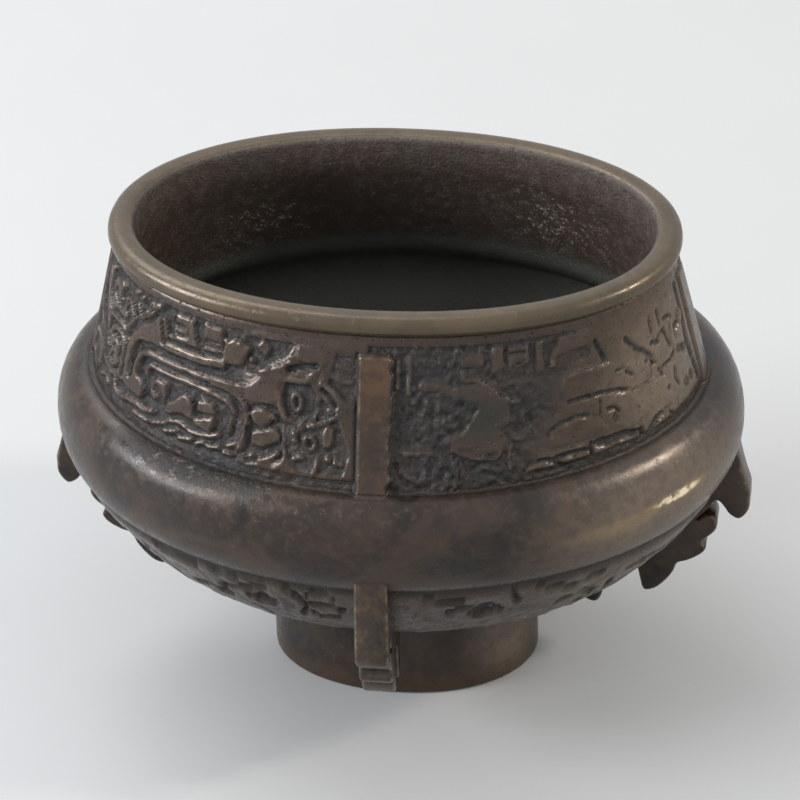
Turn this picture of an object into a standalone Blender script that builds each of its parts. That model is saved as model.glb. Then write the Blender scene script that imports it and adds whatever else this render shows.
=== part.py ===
"""Oval bronze censer, one hollow casting.

A plain oval foot carries a shallow carved bowl, a swollen belly band, a carved neck that leans
in, and a heavy rolled lip. Four flat ribs stand on the neck and four hooked flanges hang under
the belly, one of each at the front, back, left and right.
"""
import math

import bmesh
import bpy
import numpy as np
from mathutils import Vector
from mathutils.geometry import delaunay_2d_cdt

# Driving dimensions, in metres
BELLY_WIDTH = 0.1100
BELLY_DEPTH = 0.0884
BELLY_BAND = 0.0159
BELLY_SWELL = 0.0050
BELLY_UNDERCUT = 0.0031
MOUTH_WIDTH = 0.0902
MOUTH_DEPTH = 0.0590
LIP_HEIGHT = 0.0030
LIP_WIDTH = 0.0041
LIP_ROUND = 0.0010
LIP_UNDER_ROUND = 0.0006
LIP_OVERHANG = 0.0016
NECK_HEIGHT = 0.0228
BOWL_HEIGHT = 0.0194
FOOT_WIDTH = 0.0432
FOOT_DEPTH = 0.0318
FOOT_HEIGHT = 0.0191
FOOT_EDGE = 0.0006
WALL = 0.0032
FOOT_WALL = 0.0030
FLOOR = 0.0036
FLOOR_DISH = 0.0006
CARVING_RISE = 0.0007
CARVING_SLOPE = 0.00030
SLOT_DEPTH = 0.0005
RIB_BASE = 0.0060
RIB_FACE = 0.0042
RIB_RISE = 0.0012
SIDE_RIB_RISE = 0.0007
RIB_END_GAP = 0.0029
RIB_FOOT_SINK = 0.00045
FRONT_RIB_SHIFT = 0.0011
FLANGE_THICKNESS = 0.0054
FLANGE_PROUD = 0.0014
FRONT_FLANGE_SHIFT = 0.0013
FRONT_FLANGE_SKEW = 0.0018
SIDE_FLANGE_REACH = 0.0296
SIDE_FLANGE_DROP = 0.0275
SIDE_FLANGE_RISE = 0.0275
FRONT_FLANGE_REACH = 0.0240
FRONT_FLANGE_DROP = 0.0280
FRONT_FLANGE_RISE = 0.0243

# How square each oval is: 2 is an ellipse, more fills the corners
MOUTH_SQUARENESS = 2.08
BELLY_SQUARENESS = 1.97
FOOT_SQUARENESS = 2.09
BOWL_CURVE = 2.5

# Fineness of the mesh
COLUMNS = 72
INNER_COLUMNS = 48
BELLY_ROWS = 5
BOWL_ROWS = 3
BOWL_BAND_ROWS = 3
NECK_ROWS = 2
CURVE_STEPS = 2
ARC_SAMPLES = 4001

# Levels of the outside that the inside copies: 0 to 1 bowl, 1 to 2 belly band, 2 to 3 neck
HOLLOW_LEVELS = (0.28, 0.50, 0.75, 1.0, 1.22, 1.50, 1.8, 2.08, 2.97)

# Where a quarter-round corner is cut: one less the root of a half
CORNER = 1.0 - math.sqrt(0.5)

# How far over its crown the belly band turns before the neck starts, and what that insets it
BELLY_TOP_ANGLE = math.radians(106.0)
NECK_INSET = BELLY_SWELL * (1.0 - math.cos(BELLY_TOP_ANGLE))

# Heights that follow from the sizes
BOWL_TOP = FOOT_HEIGHT + BOWL_HEIGHT
BELLY_TOP = BOWL_TOP + BELLY_BAND
NECK_TOP = BELLY_TOP + NECK_HEIGHT
HEIGHT = NECK_TOP + LIP_HEIGHT

# The carving is drawn on a grid of units, one panel between two ribs or flanges
PANEL_LENGTH = 63.5
NECK_GRID = 22.0
BOWL_GRID = 20.0
BOWL_BAND_START = 0.40
CELL_RIBBON = 0.8
CELL_TOP = 20.2
SHAPE_CLEARANCE = 1.0

# Shares used in drawing the ribbons: how far an end overruns, how sharp a mitre may be, where a
# lens is widest, and how far the walls of a slot lean in at its ends and its sides
END_OVERRUN = 0.5
MITRE_LIMIT = 0.6
LENS_SHOULDER = 0.3
SLOT_END_LEAN = 0.08
SLOT_SIDE_LEAN = 0.45

# Ribbons of the crisp neck panel: width, then the points its middle line runs through
MAIN_RIBBONS = (
    (1.2, (10.0, 18.4), (10.3, 15.4), (12.2, 13.0), (13.3, 8.4)),
    (0.9, (12.8, 13.2), (16.0, 13.2), (18.8, 12.2)),
    (1.3, (20.2, 6.0), (20.2, 11.0), (21.8, 13.7), (26.4, 14.3), (40.0, 14.8)),
    (1.1, (22.4, 6.4), (22.4, 9.8), (24.2, 11.9), (27.2, 12.2), (40.0, 12.2), (43.0, 10.8),
     (43.9, 8.4), (43.7, 4.0)),
    (0.8, (25.6, 6.4), (25.9, 8.8), (28.0, 10.3), (38.6, 10.4), (41.4, 9.2)),
    (0.8, (29.4, 16.3), (39.2, 16.4)),
    (2.0, (31.0, 6.0), (34.4, 6.5)),
    (1.5, (36.3, 7.9), (38.6, 7.9)),
    (1.5, (36.0, 5.3), (38.4, 5.7)),
    (0.9, (22.4, 3.0), (40.0, 3.1)),
    (3.2, (45.6, 12.5), (48.0, 12.6)),
    (1.9, (46.0, 8.8), (47.8, 8.7)),
    (1.8, (46.2, 5.6), (49.0, 5.7)),
    (0.9, (49.9, 9.2), (49.5, 12.6), (51.2, 14.8), (54.6, 15.0), (57.4, 18.2)),
    (1.0, (56.8, 14.3), (58.6, 13.2), (61.0, 11.6)),
    (1.6, (57.5, 8.2), (57.4, 6.2)),
    (1.0, (46.2, 15.4), (48.8, 16.2), (51.2, 17.6)),
)
FINE_RIBBONS = (
    (0.8, (3.6, 2.4), (3.2, 8.0), (4.2, 14.0), (3.8, 19.0)),
    (0.8, (6.0, 2.4), (6.6, 8.0), (5.8, 14.0), (6.4, 19.0)),
    (1.0, (15.0, 7.4), (15.4, 10.8), (17.0, 11.4), (18.3, 9.8), (18.3, 6.2)),
    (0.9, (13.8, 4.0), (16.6, 2.8), (19.8, 2.8)),
    (0.9, (28.3, 15.6), (27.4, 18.0)),
    (1.0, (52.2, 12.6), (52.2, 10.6)),
    (1.6, (53.6, 18.6), (56.0, 18.4)),
    (1.2, (54.7, 6.8), (54.7, 5.8)),
    (0.8, (47.2, 2.8), (49.6, 4.0)),
    (2.6, (40.9, 17.2), (43.2, 16.6)),
)

# Square key cells along the top of the crisp panel: left edge, width, foot of the cell
CRISP_CELLS = ((12.6, 4.4, 15.0), (20.6, 2.3, 16.4), (30.0, 3.2, 17.9), (35.7, 3.2, 18.0))

# What is left of the worn neck panel's carving
WORN_RIBBONS = (
    (0.9, (6.0, 5.8), (13.0, 5.8), (20.0, 4.6)),
    (0.9, (8.4, 14.5), (13.0, 14.2), (18.0, 14.9), (20.2, 13.2)),
    (1.6, (15.2, 18.0), (17.5, 18.2)),
    (1.5, (20.2, 19.3), (20.3, 17.3)),
    (0.9, (25.2, 19.6), (25.0, 17.2)),
    (0.9, (27.4, 19.6), (27.3, 16.2)),
    (0.9, (22.4, 17.4), (23.8, 17.6)),
    (0.9, (29.2, 16.4), (31.4, 18.9), (34.8, 19.1), (37.8, 15.6)),
    (3.0, (30.6, 12.0), (39.6, 11.9), (46.0, 9.8)),
    (2.4, (29.6, 6.0), (34.4, 6.0)),
    (3.2, (42.0, 6.4), (49.0, 6.2)),
    (2.2, (40.0, 17.0), (42.4, 16.6)),
    (2.0, (46.2, 16.6), (50.0, 16.4)),
    (1.2, (54.4, 15.4), (53.8, 12.4), (54.6, 9.6)),
    (1.0, (56.0, 12.6), (57.6, 14.4)),
    (1.4, (53.6, 17.6), (56.2, 17.4)),
    (0.9, (5.6, 2.9), (9.0, 1.0)),
    (0.9, (14.6, 2.8), (20.0, 2.4)),
)

# The recut plate low on the worn panel, and the lens slots cut into it: ends and width
WORN_PLATE = ((23.0, 0.5), (25.6, 3.7), (34.0, 4.1), (47.4, 4.1), (51.0, 0.8))
WORN_SLOTS = (
    ((35.0, 3.2), (43.0, 2.5), 0.9),
    ((28.2, 2.9), (34.2, 2.8), 0.7),
    ((30.2, 1.6), (35.2, 1.2), 0.5),
    ((36.6, 1.6), (42.6, 1.1), 0.6),
    ((44.4, 1.6), (47.8, 3.0), 0.7),
)

# Ribbons of the carved bowl, drawn with the belly at the top
BOWL_RIBBONS = (
    (1.1, (47.2, 12.6), (48.6, 16.6), (53.6, 17.2), (56.2, 14.2), (53.8, 11.6), (51.0, 13.8)),
    (1.1, (32.0, 14.6), (35.4, 17.0), (39.0, 15.8), (43.6, 17.4)),
    (1.9, (35.0, 9.6), (39.4, 12.6), (43.6, 11.2), (44.4, 7.6)),
    (1.8, (7.4, 16.6), (13.0, 13.4)),
    (1.0, (13.8, 17.4), (17.6, 18.2), (20.6, 15.8), (18.4, 13.4)),
    (1.3, (21.2, 12.0), (25.4, 10.4)),
    (1.1, (24.4, 17.6), (27.6, 16.2), (29.6, 12.8), (28.6, 8.0)),
    (1.1, (7.0, 10.4), (12.4, 7.4), (18.6, 8.8), (22.6, 6.0)),
    (1.2, (49.4, 8.2), (56.4, 6.4)),
    (1.0, (32.0, 5.4), (39.4, 3.6)),
)

# Outline of a hooked flange: shares of its reach inward and of its height above the lowest tip
FLANGE_OUTLINE = (
    (0.100, 1.25), (0.040, 0.955), (0.006, 0.825), (0.004, 0.735), (0.033, 0.670), (0.067, 0.645),
    (0.113, 0.672), (0.145, 0.725), (0.183, 0.765), (0.227, 0.705), (0.290, 0.622), (0.240, 0.658),
    (0.195, 0.650), (0.180, 0.590), (0.200, 0.535), (0.255, 0.475), (0.240, 0.425), (0.270, 0.375),
    (0.340, 0.328), (0.395, 0.305), (0.420, 0.240), (0.465, 0.170), (0.520, 0.115), (0.580, 0.105),
    (0.600, 0.185), (0.620, 0.270), (0.690, 0.350), (0.770, 0.290), (0.795, 0.120), (0.825, 0.015),
    (0.870, 0.000), (0.930, 0.050), (0.985, 0.180), (1.050, 0.330), (1.050, 0.520), (0.250, 1.250),
)


def oval(half_width, half_depth, squareness, turn):
    """Points of a superellipse: each half size times the signed cosine or sine to 2/squareness."""
    power = 2.0 / squareness
    x = half_width * np.sign(np.cos(turn)) * np.abs(np.cos(turn)) ** power
    y = half_depth * np.sign(np.sin(turn)) * np.abs(np.sin(turn)) ** power
    return x, y


def mix(low, high, share):
    """The value a share of the way from low to high."""
    return low + (high - low) * share


def ring_at(level):
    """Half width, half depth, height and squareness of the outside at a level.

    Levels run 0 to 1 up the bowl, 1 to 2 up the belly band and 2 to 3 up the neck.
    """
    level = np.asarray(level, dtype=float)
    bowl = np.clip(level, 0.0, 1.0)
    belly = np.clip(level - 1.0, 0.0, 1.0)
    neck = np.clip(level - 2.0, 0.0, 1.0)
    low_angle = -math.acos(1.0 - BELLY_UNDERCUT / BELLY_SWELL)
    angle = mix(low_angle, BELLY_TOP_ANGLE, belly)
    rise = BELLY_BAND / (math.sin(BELLY_TOP_ANGLE) - math.sin(low_angle))
    inset = BELLY_SWELL * (1.0 - np.cos(angle))
    belly_z = BOWL_TOP + rise * (np.sin(angle) - math.sin(low_angle))
    sizes = []
    for whole, foot, mouth in ((BELLY_WIDTH, FOOT_WIDTH, MOUTH_WIDTH),
                               (BELLY_DEPTH, FOOT_DEPTH, MOUTH_DEPTH)):
        half = whole / 2
        bowl_half = mix(foot / 2, half - BELLY_UNDERCUT, bowl)
        neck_half = mix(half - NECK_INSET, mouth / 2 - LIP_OVERHANG, neck)
        sizes.append(np.where(level < 1.0, bowl_half, np.where(level < 2.0, half - inset, neck_half)))
    bowl_z = FOOT_HEIGHT + BOWL_HEIGHT * bowl ** BOWL_CURVE
    neck_z = BELLY_TOP + NECK_HEIGHT * neck
    height = np.where(level < 1.0, bowl_z, np.where(level < 2.0, belly_z, neck_z))
    square = np.where(level < 1.0, mix(FOOT_SQUARENESS, BELLY_SQUARENESS, bowl),
                      mix(BELLY_SQUARENESS, MOUTH_SQUARENESS, neck))
    return sizes[0], sizes[1], height, square


def outside(turn, level):
    """Points of the plain outside at the given turns and levels, as an array of rows."""
    half_width, half_depth, height, square = ring_at(level)
    x, y = oval(half_width, half_depth, square, turn)
    return np.stack([x, y, height + 0.0 * x], axis=-1)


def lifted(turn, level, lift):
    """Points of the outside, moved along its normal: the cross of its two slopes."""
    step = 1e-4
    around = outside(turn + step, level) - outside(turn - step, level)
    upward = outside(turn, level + step) - outside(turn, level - step)
    normal = np.cross(around, upward)
    normal = normal / np.linalg.norm(normal, axis=-1)[:, None]
    return outside(turn, level) + normal * lift[:, None]


def arc_table(level):
    """Arc lengths and turns round the outside at a level, from the back round to the back."""
    turn = np.linspace(-1.5 * math.pi, 0.5 * math.pi, ARC_SAMPLES)
    line = outside(turn, np.full(len(turn), level))
    steps = np.linalg.norm(np.diff(line, axis=0), axis=1)
    length = np.concatenate([[0.0], np.cumsum(steps)])
    return length / length[-1] * 4.0 * PANEL_LENGTH, turn


COLUMN_TURNS = np.linspace(-1.5 * math.pi, 0.5 * math.pi, COLUMNS + 1)


def smooth_line(points, steps, closed=False):
    """Points on a Catmull-Rom curve through the given ones, steps to each span."""
    knots = [Vector(point) for point in points]
    if len(knots) < 3:
        return knots
    count = len(knots)
    spans = count if closed else count - 1
    line = []
    for index in range(spans):
        if closed:
            around = [knots[(index + offset) % count] for offset in (-1, 0, 1, 2)]
        else:
            around = [knots[min(max(index + offset, 0), count - 1)] for offset in (-1, 0, 1, 2)]
        before, start, end, after = around
        for step in range(steps):
            share = step / steps
            pull = (end - before) * share + (2 * before - 5 * start + 4 * end - after) * share ** 2
            pull += (3 * start - before - 3 * end + after) * share ** 3
            line.append(start + pull / 2)
    if not closed:
        line.append(knots[-1])
    return line


def band_loop(line, half):
    """Closed outline at a distance either side of a line, mitred at its corners."""
    left = []
    right = []
    last = len(line) - 1
    for index, point in enumerate(line):
        before = point - line[max(index - 1, 0)]
        after = line[min(index + 1, last)] - point
        if index == 0:
            before = after
        if index == last:
            after = before
        before = before.normalized()
        after = after.normalized()
        side = Vector((-(before.y + after.y), before.x + after.x)).normalized()
        reach = half / max(side.dot(Vector((-after.y, after.x))), MITRE_LIMIT)
        end = before * (half * END_OVERRUN) * ((index == last) - (index == 0))
        left.append(point + side * reach + end)
        right.append(point - side * reach + end)
    return left + right[::-1]


def lens_loop(start, end, width):
    """Pointed oval between two points."""
    start = Vector(start)
    end = Vector(end)
    along = end - start
    side = Vector((-along.y, along.x)).normalized() * width / 2
    near = start + along * LENS_SHOULDER
    far = end - along * LENS_SHOULDER
    return [start, near + side, far + side, end, far - side, near - side]


def shrunk(loop, distance):
    """A loop drawn in towards its middle by about a distance."""
    middle = sum(loop, Vector((0.0, 0.0))) / len(loop)
    return [point - (point - middle).normalized() * distance for point in loop]


def ribbon_shapes(ribbons, unit):
    """Two loops for each ribbon: its foot on the ground and its flat top."""
    slope = CARVING_SLOPE / unit
    shapes = []
    for width, *points in ribbons:
        line = smooth_line(points, CURVE_STEPS if len(points) > 3 else 1)
        shapes.append((band_loop(line, width / 2 + slope), 0.0))
        shapes.append((band_loop(line, width / 2), CARVING_RISE))
    return shapes


def cell_shapes(cells, unit):
    """Square key cells open at the top, each a ribbon bent round three sides."""
    slope = CARVING_SLOPE / unit
    half = CELL_RIBBON / 2
    shapes = []
    for left, width, foot in cells:
        right = left + width
        corners = ((left, CELL_TOP), (left, foot), (right, foot), (right, CELL_TOP))
        line = [Vector(corner) for corner in corners]
        shapes.append((band_loop(line, half + slope), 0.0))
        shapes.append((band_loop(line, half), CARVING_RISE))
    return shapes


def plate_shapes(unit):
    """The recut plate of the worn panel with its lens slots."""
    slope = CARVING_SLOPE / unit
    outline = [Vector(point) for point in WORN_PLATE]
    shapes = [(outline, 0.0), (shrunk(outline, slope), CARVING_RISE)]
    for start, end, width in WORN_SLOTS:
        start = Vector(start)
        end = Vector(end)
        lean = (end - start) * SLOT_END_LEAN
        shapes.append((lens_loop(start, end, width), CARVING_RISE))
        inner = lens_loop(start + lean, end - lean, width * SLOT_SIDE_LEAN)
        shapes.append((inner, CARVING_RISE - SLOT_DEPTH))
    return shapes


def placed(shapes, panel, mirrored):
    """Shapes moved to one of the four panels, turned about where the panel is mirrored."""
    moved = []
    for loop, lift in shapes:
        if mirrored:
            points = [((panel + 1) * PANEL_LENGTH - point.x, point.y) for point in loop[::-1]]
        else:
            points = [(panel * PANEL_LENGTH + point.x, point.y) for point in loop]
        moved.append((points, lift))
    return moved


def carved_band(mesh, shapes, low, high, grid, rows):
    """Triangulate the unrolled band round its shapes, then wrap it on the outside."""
    arcs, turns = arc_table((low + high) / 2)
    columns = np.interp(COLUMN_TURNS, turns, arcs)
    points = []
    lifts = []
    edges = []
    for share in np.linspace(0.0, 1.0, rows + 1):
        for column in columns:
            points.append(Vector((float(column), float(share * grid))))
            lifts.append(0.0)
    inner = [index for index in range(len(points)) if COLUMNS < index < rows * (COLUMNS + 1)
             and index % (COLUMNS + 1) not in (0, COLUMNS)]
    outlines = [np.array([tuple(point) for point in loop]) for loop, lift in shapes]
    hidden = {index for index in inner if crowded(points[index], outlines)}
    kept = [index for index in range(len(points)) if index not in hidden]
    points = [points[index] for index in kept]
    lifts = [lifts[index] for index in kept]
    for loop, lift in shapes:
        first = len(points)
        for point in loop:
            points.append(Vector(point))
            lifts.append(lift)
        size = len(loop)
        edges.extend((first + index, first + (index + 1) % size) for index in range(size))
    found, _, faces, sources, _, _ = delaunay_2d_cdt(points, edges, [], 0, 1e-6, True)
    lift = np.array([max((lifts[source] for source in group), default=0.0) for group in sources])
    flat = np.array([tuple(point) for point in found])
    turn = np.interp(flat[:, 0], arcs, turns)
    level = mix(low, high, flat[:, 1] / grid)
    wrapped = lifted(turn, np.clip(level, low + 1e-6, high - 1e-6), lift)
    on_edge = (flat[:, 1] < 1e-5) | (flat[:, 1] > grid - 1e-5)
    wrapped[on_edge] = outside(turn[on_edge], np.where(level[on_edge] > (low + high) / 2, high, low))
    vertices = [mesh.verts.new(point) for point in wrapped]
    for face in faces:
        mesh.faces.new([vertices[index] for index in face])


def crowded(point, outlines):
    """Whether a grid point lies in or close to a shape, which already carries points there."""
    spot = np.array(tuple(point))
    for outline in outlines:
        if np.min(np.hypot(*(outline - spot).T)) < SHAPE_CLEARANCE:
            return True
        after = np.roll(outline, -1, axis=0)
        crosses = (outline[:, 1] > spot[1]) != (after[:, 1] > spot[1])
        rise = np.where(crosses, after[:, 1] - outline[:, 1], 1.0)
        reach = outline[:, 0] + (after[:, 0] - outline[:, 0]) * (spot[1] - outline[:, 1]) / rise
        if np.count_nonzero(crosses & (spot[0] < reach)) % 2:
            return True
    return False


def stack_rings(mesh, rings, close_start, close_end):
    """Skin a stack of rings of points, capped where asked."""
    rows = [[mesh.verts.new(point) for point in ring] for ring in rings]
    for lower, upper in zip(rows, rows[1:]):
        count = len(lower)
        for index in range(count):
            after = (index + 1) % count
            mesh.faces.new((lower[index], lower[after], upper[after], upper[index]))
    if close_start:
        mesh.faces.new(rows[0][::-1])
    if close_end:
        mesh.faces.new(rows[-1])


def oval_ring(half_width, half_depth, height, squareness, columns=COLUMNS):
    """One ring of points, a column each."""
    turn = np.linspace(COLUMN_TURNS[0], COLUMN_TURNS[-1], columns + 1)[:-1]
    x, y = oval(half_width, half_depth, squareness, turn)
    return np.stack([x, y, np.full(columns, height)], axis=-1)


def foot_rings():
    """The plain foot, from its rounded lower edge up to the bowl."""
    half_width = FOOT_WIDTH / 2
    half_depth = FOOT_DEPTH / 2
    return [
        oval_ring(half_width - FOOT_EDGE, half_depth - FOOT_EDGE, 0.0, FOOT_SQUARENESS),
        oval_ring(half_width, half_depth, FOOT_EDGE, FOOT_SQUARENESS),
        oval_ring(half_width, half_depth, FOOT_HEIGHT, FOOT_SQUARENESS),
    ]


def lip_rings():
    """The rolled lip, from the top of the neck out, up and in to its flat top."""
    half_width = MOUTH_WIDTH / 2
    half_depth = MOUTH_DEPTH / 2
    cut = LIP_ROUND * CORNER
    steps = ((-LIP_OVERHANG, 0.0), (-LIP_UNDER_ROUND, 0.0), (0.0, LIP_UNDER_ROUND),
             (0.0, LIP_HEIGHT - LIP_ROUND), (-cut, LIP_HEIGHT - cut), (-LIP_ROUND, LIP_HEIGHT))
    return [oval_ring(half_width + out, half_depth + out, NECK_TOP + up, MOUTH_SQUARENESS)
            for out, up in steps]


def plain_rows(levels):
    """Rings of the plain outside at the given levels."""
    return [outside(COLUMN_TURNS[:-1], np.full(COLUMNS, level)) for level in levels]


def body_mesh():
    """The whole outside as one closed skin, before the ribs are added and the inside is cut."""
    mesh = bmesh.new()
    stack_rings(mesh, foot_rings(), True, False)
    stack_rings(mesh, plain_rows(np.linspace(0.0, BOWL_BAND_START, BOWL_ROWS)), False, False)
    neck_unit = NECK_HEIGHT / NECK_GRID
    plainer = ribbon_shapes(MAIN_RIBBONS, neck_unit) + cell_shapes(CRISP_CELLS[2:], neck_unit)
    crisp = ribbon_shapes(MAIN_RIBBONS + FINE_RIBBONS, neck_unit)
    crisp += cell_shapes(CRISP_CELLS, neck_unit)
    worn = ribbon_shapes(WORN_RIBBONS, neck_unit) + plate_shapes(neck_unit)
    bowl = ribbon_shapes(BOWL_RIBBONS, neck_unit)
    # Panels run from the back round by the left end: back left, front left, front right, back right
    neck_shapes = placed(plainer, 0, True) + placed(crisp, 1, False) + placed(worn, 2, False)
    neck_shapes += placed(plainer, 3, False)
    bowl_shapes = placed(bowl, 0, True) + placed(bowl, 1, False) + placed(bowl, 2, True)
    bowl_shapes += placed(bowl, 3, False)
    carved_band(mesh, bowl_shapes, BOWL_BAND_START, 1.0, BOWL_GRID, BOWL_BAND_ROWS)
    stack_rings(mesh, plain_rows(np.linspace(1.0, 2.0, BELLY_ROWS + 1)), False, False)
    carved_band(mesh, neck_shapes, 2.0, 3.0, NECK_GRID, NECK_ROWS)
    stack_rings(mesh, lip_rings(), False, True)
    bmesh.ops.remove_doubles(mesh, verts=mesh.verts, dist=2e-6)
    bmesh.ops.recalc_face_normals(mesh, faces=mesh.faces)
    return mesh


def add_prism(mesh, front, back):
    """A closed prism between two outlines with the same number of points."""
    first = [mesh.verts.new(point) for point in front]
    second = [mesh.verts.new(point) for point in back]
    count = len(first)
    for index in range(count):
        after = (index + 1) % count
        mesh.faces.new((first[index], first[after], second[after], second[index]))
    mesh.faces.new(first[::-1])
    mesh.faces.new(second)


# The four sides: the direction outward and sideways, the sizes across the belly and the mouth,
# the flange's reach, drop and rise, the rib's rise, how far the rib and the flange stand off the
# middle, and how far the flange runs askew over its reach
SIDE_FLANGE = (SIDE_FLANGE_REACH, SIDE_FLANGE_DROP, SIDE_FLANGE_RISE)
FRONT_FLANGE = (FRONT_FLANGE_REACH, FRONT_FLANGE_DROP, FRONT_FLANGE_RISE)
SIDES = (
    (Vector((1, 0, 0)), Vector((0, 1, 0)), BELLY_WIDTH, MOUTH_WIDTH, SIDE_FLANGE, SIDE_RIB_RISE,
     0.0, 0.0, 0.0),
    (Vector((-1, 0, 0)), Vector((0, -1, 0)), BELLY_WIDTH, MOUTH_WIDTH, SIDE_FLANGE, SIDE_RIB_RISE,
     0.0, 0.0, 0.0),
    (Vector((0, 1, 0)), Vector((-1, 0, 0)), BELLY_DEPTH, MOUTH_DEPTH, FRONT_FLANGE, RIB_RISE,
     0.0, 0.0, 0.0),
    (Vector((0, -1, 0)), Vector((1, 0, 0)), BELLY_DEPTH, MOUTH_DEPTH, FRONT_FLANGE, RIB_RISE,
     FRONT_RIB_SHIFT, FRONT_FLANGE_SHIFT, FRONT_FLANGE_SKEW),
)


def add_rib(mesh, outward, sideways, belly, mouth, rise, shift):
    """A flat rib down the neck, wider at its foot than on its face."""
    outlines = []
    for share in (-RIB_FOOT_SINK / NECK_HEIGHT, 1.0 - RIB_END_GAP / NECK_HEIGHT):
        ground = mix(belly / 2 - NECK_INSET, mouth / 2 - LIP_OVERHANG, share)
        height = BELLY_TOP + NECK_HEIGHT * share
        corners = ((-RIB_BASE / 2, -WALL / 2), (RIB_BASE / 2, -WALL / 2),
                   (RIB_BASE / 2, 0.0), (RIB_FACE / 2, rise),
                   (-RIB_FACE / 2, rise), (-RIB_BASE / 2, 0.0))
        outlines.append([outward * (ground + out) + sideways * (side + shift) + Vector((0, 0, height))
                         for side, out in corners])
    add_prism(mesh, outlines[0], outlines[1])


def add_flange(mesh, outward, sideways, belly, flange, shift, skew):
    """A hooked flange under the belly: its outline carried across its thickness."""
    reach, drop, rise = flange
    outer = belly / 2 + FLANGE_PROUD
    profile = []
    for inward, upward in FLANGE_OUTLINE:
        spot = outward * (outer - inward * reach) + sideways * (shift - inward * skew)
        profile.append(spot + Vector((0, 0, BOWL_TOP - drop + upward * rise)))
    half = FLANGE_THICKNESS / 2
    add_prism(mesh, [point - sideways * half for point in profile],
              [point + sideways * half for point in profile])


def fittings_mesh():
    """All four ribs and all four flanges, as eight closed blocks."""
    mesh = bmesh.new()
    for outward, sideways, belly, mouth, flange, rise, rib_shift, flange_shift, skew in SIDES:
        add_rib(mesh, outward, sideways, belly, mouth, rise, rib_shift)
        add_flange(mesh, outward, sideways, belly, flange, flange_shift, skew)
    bmesh.ops.recalc_face_normals(mesh, faces=mesh.faces)
    return mesh


def hollow_mesh():
    """The inside of the vessel and the recess of the foot, as two closed blocks."""
    mesh = bmesh.new()
    rings = []
    step = 1e-3
    floor = FOOT_HEIGHT + FLOOR
    for level in HOLLOW_LEVELS:
        half_width, half_depth, height, square = ring_at(level)
        before = ring_at(level - step)
        after = ring_at(min(level + step, 3.0))
        out = (after[0] + after[1] - before[0] - before[1]) / 2
        rise = after[2] - before[2]
        size = math.hypot(out, rise)
        inset = WALL * rise / size
        lift = WALL * out / size
        height = max(float(height + lift), floor + FLOOR_DISH * level)
        rings.append(oval_ring(half_width - inset, half_depth - inset, height, square, INNER_COLUMNS))
    half_width = MOUTH_WIDTH / 2 - LIP_WIDTH
    half_depth = MOUTH_DEPTH / 2 - LIP_WIDTH
    cut = LIP_ROUND * CORNER
    flare = ((0.0, -LIP_ROUND), (cut, -cut), (LIP_ROUND, 0.0), (LIP_ROUND * 2.0, LIP_ROUND))
    for out, up in flare:
        rings.append(oval_ring(half_width + out, half_depth + out, HEIGHT + up, MOUTH_SQUARENESS,
                               INNER_COLUMNS))
    stack_rings(mesh, rings, True, True)
    half_width = FOOT_WIDTH / 2 - FOOT_WALL
    half_depth = FOOT_DEPTH / 2 - FOOT_WALL
    recess = ((0.0, -FLOOR), (0.0, FOOT_HEIGHT - FLOOR / 2), (-FLOOR / 2, FOOT_HEIGHT))
    stack_rings(mesh, [oval_ring(half_width + out, half_depth + out, height, FOOT_SQUARENESS,
                                 INNER_COLUMNS) for out, height in recess], True, True)
    bmesh.ops.recalc_face_normals(mesh, faces=mesh.faces)
    return mesh


def add_object(name, mesh):
    """Put a finished mesh into the scene under a name."""
    data = bpy.data.meshes.new(name)
    mesh.to_mesh(data)
    mesh.free()
    thing = bpy.data.objects.new(name, data)
    bpy.context.scene.collection.objects.link(thing)
    return thing


def bronze():
    """Dark brown patinated bronze."""
    material = bpy.data.materials.new("bronze")
    material.use_nodes = True
    shader = material.node_tree.nodes["Principled BSDF"]
    shader.inputs["Base Color"].default_value = (0.060, 0.042, 0.032, 1.0)
    shader.inputs["Metallic"].default_value = 0.75
    shader.inputs["Roughness"].default_value = 0.42
    return material


def add_boolean(thing, operation, tool):
    """Join a tool to the body, or cut it away, and mark the tool as a guide."""
    change = thing.modifiers.new(operation.lower(), "BOOLEAN")
    change.operation = operation
    change.solver = "EXACT"
    change.object = tool
    tool.hide_render = True
    tool.display_type = "WIRE"


def build():
    """Clear the scene and build the censer."""
    for thing in list(bpy.data.objects):
        bpy.data.objects.remove(thing, do_unlink=True)
    censer = add_object("censer", body_mesh())
    censer.data.materials.append(bronze())
    add_boolean(censer, "UNION", add_object("ribs_and_flanges", fittings_mesh()))
    add_boolean(censer, "DIFFERENCE", add_object("hollow", hollow_mesh()))
    censer.data.shade_smooth()
    censer.data.set_sharp_from_angle(angle=math.radians(35))


build()
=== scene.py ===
"""Looks of an oval cast bronze censer on a pale floor, laid out as a Blender add-on.

The casting is one closed skin. Rings of points are stacked from the recess under the foot, up the
outside, over the lip and down the inside, and the carving of neck and bowl is a height added
along the normal of each ring. The four hooked flanges are closed slabs in the same piece.
"""

import math

import bpy
import numpy as np
from mathutils import Matrix, Vector


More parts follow.
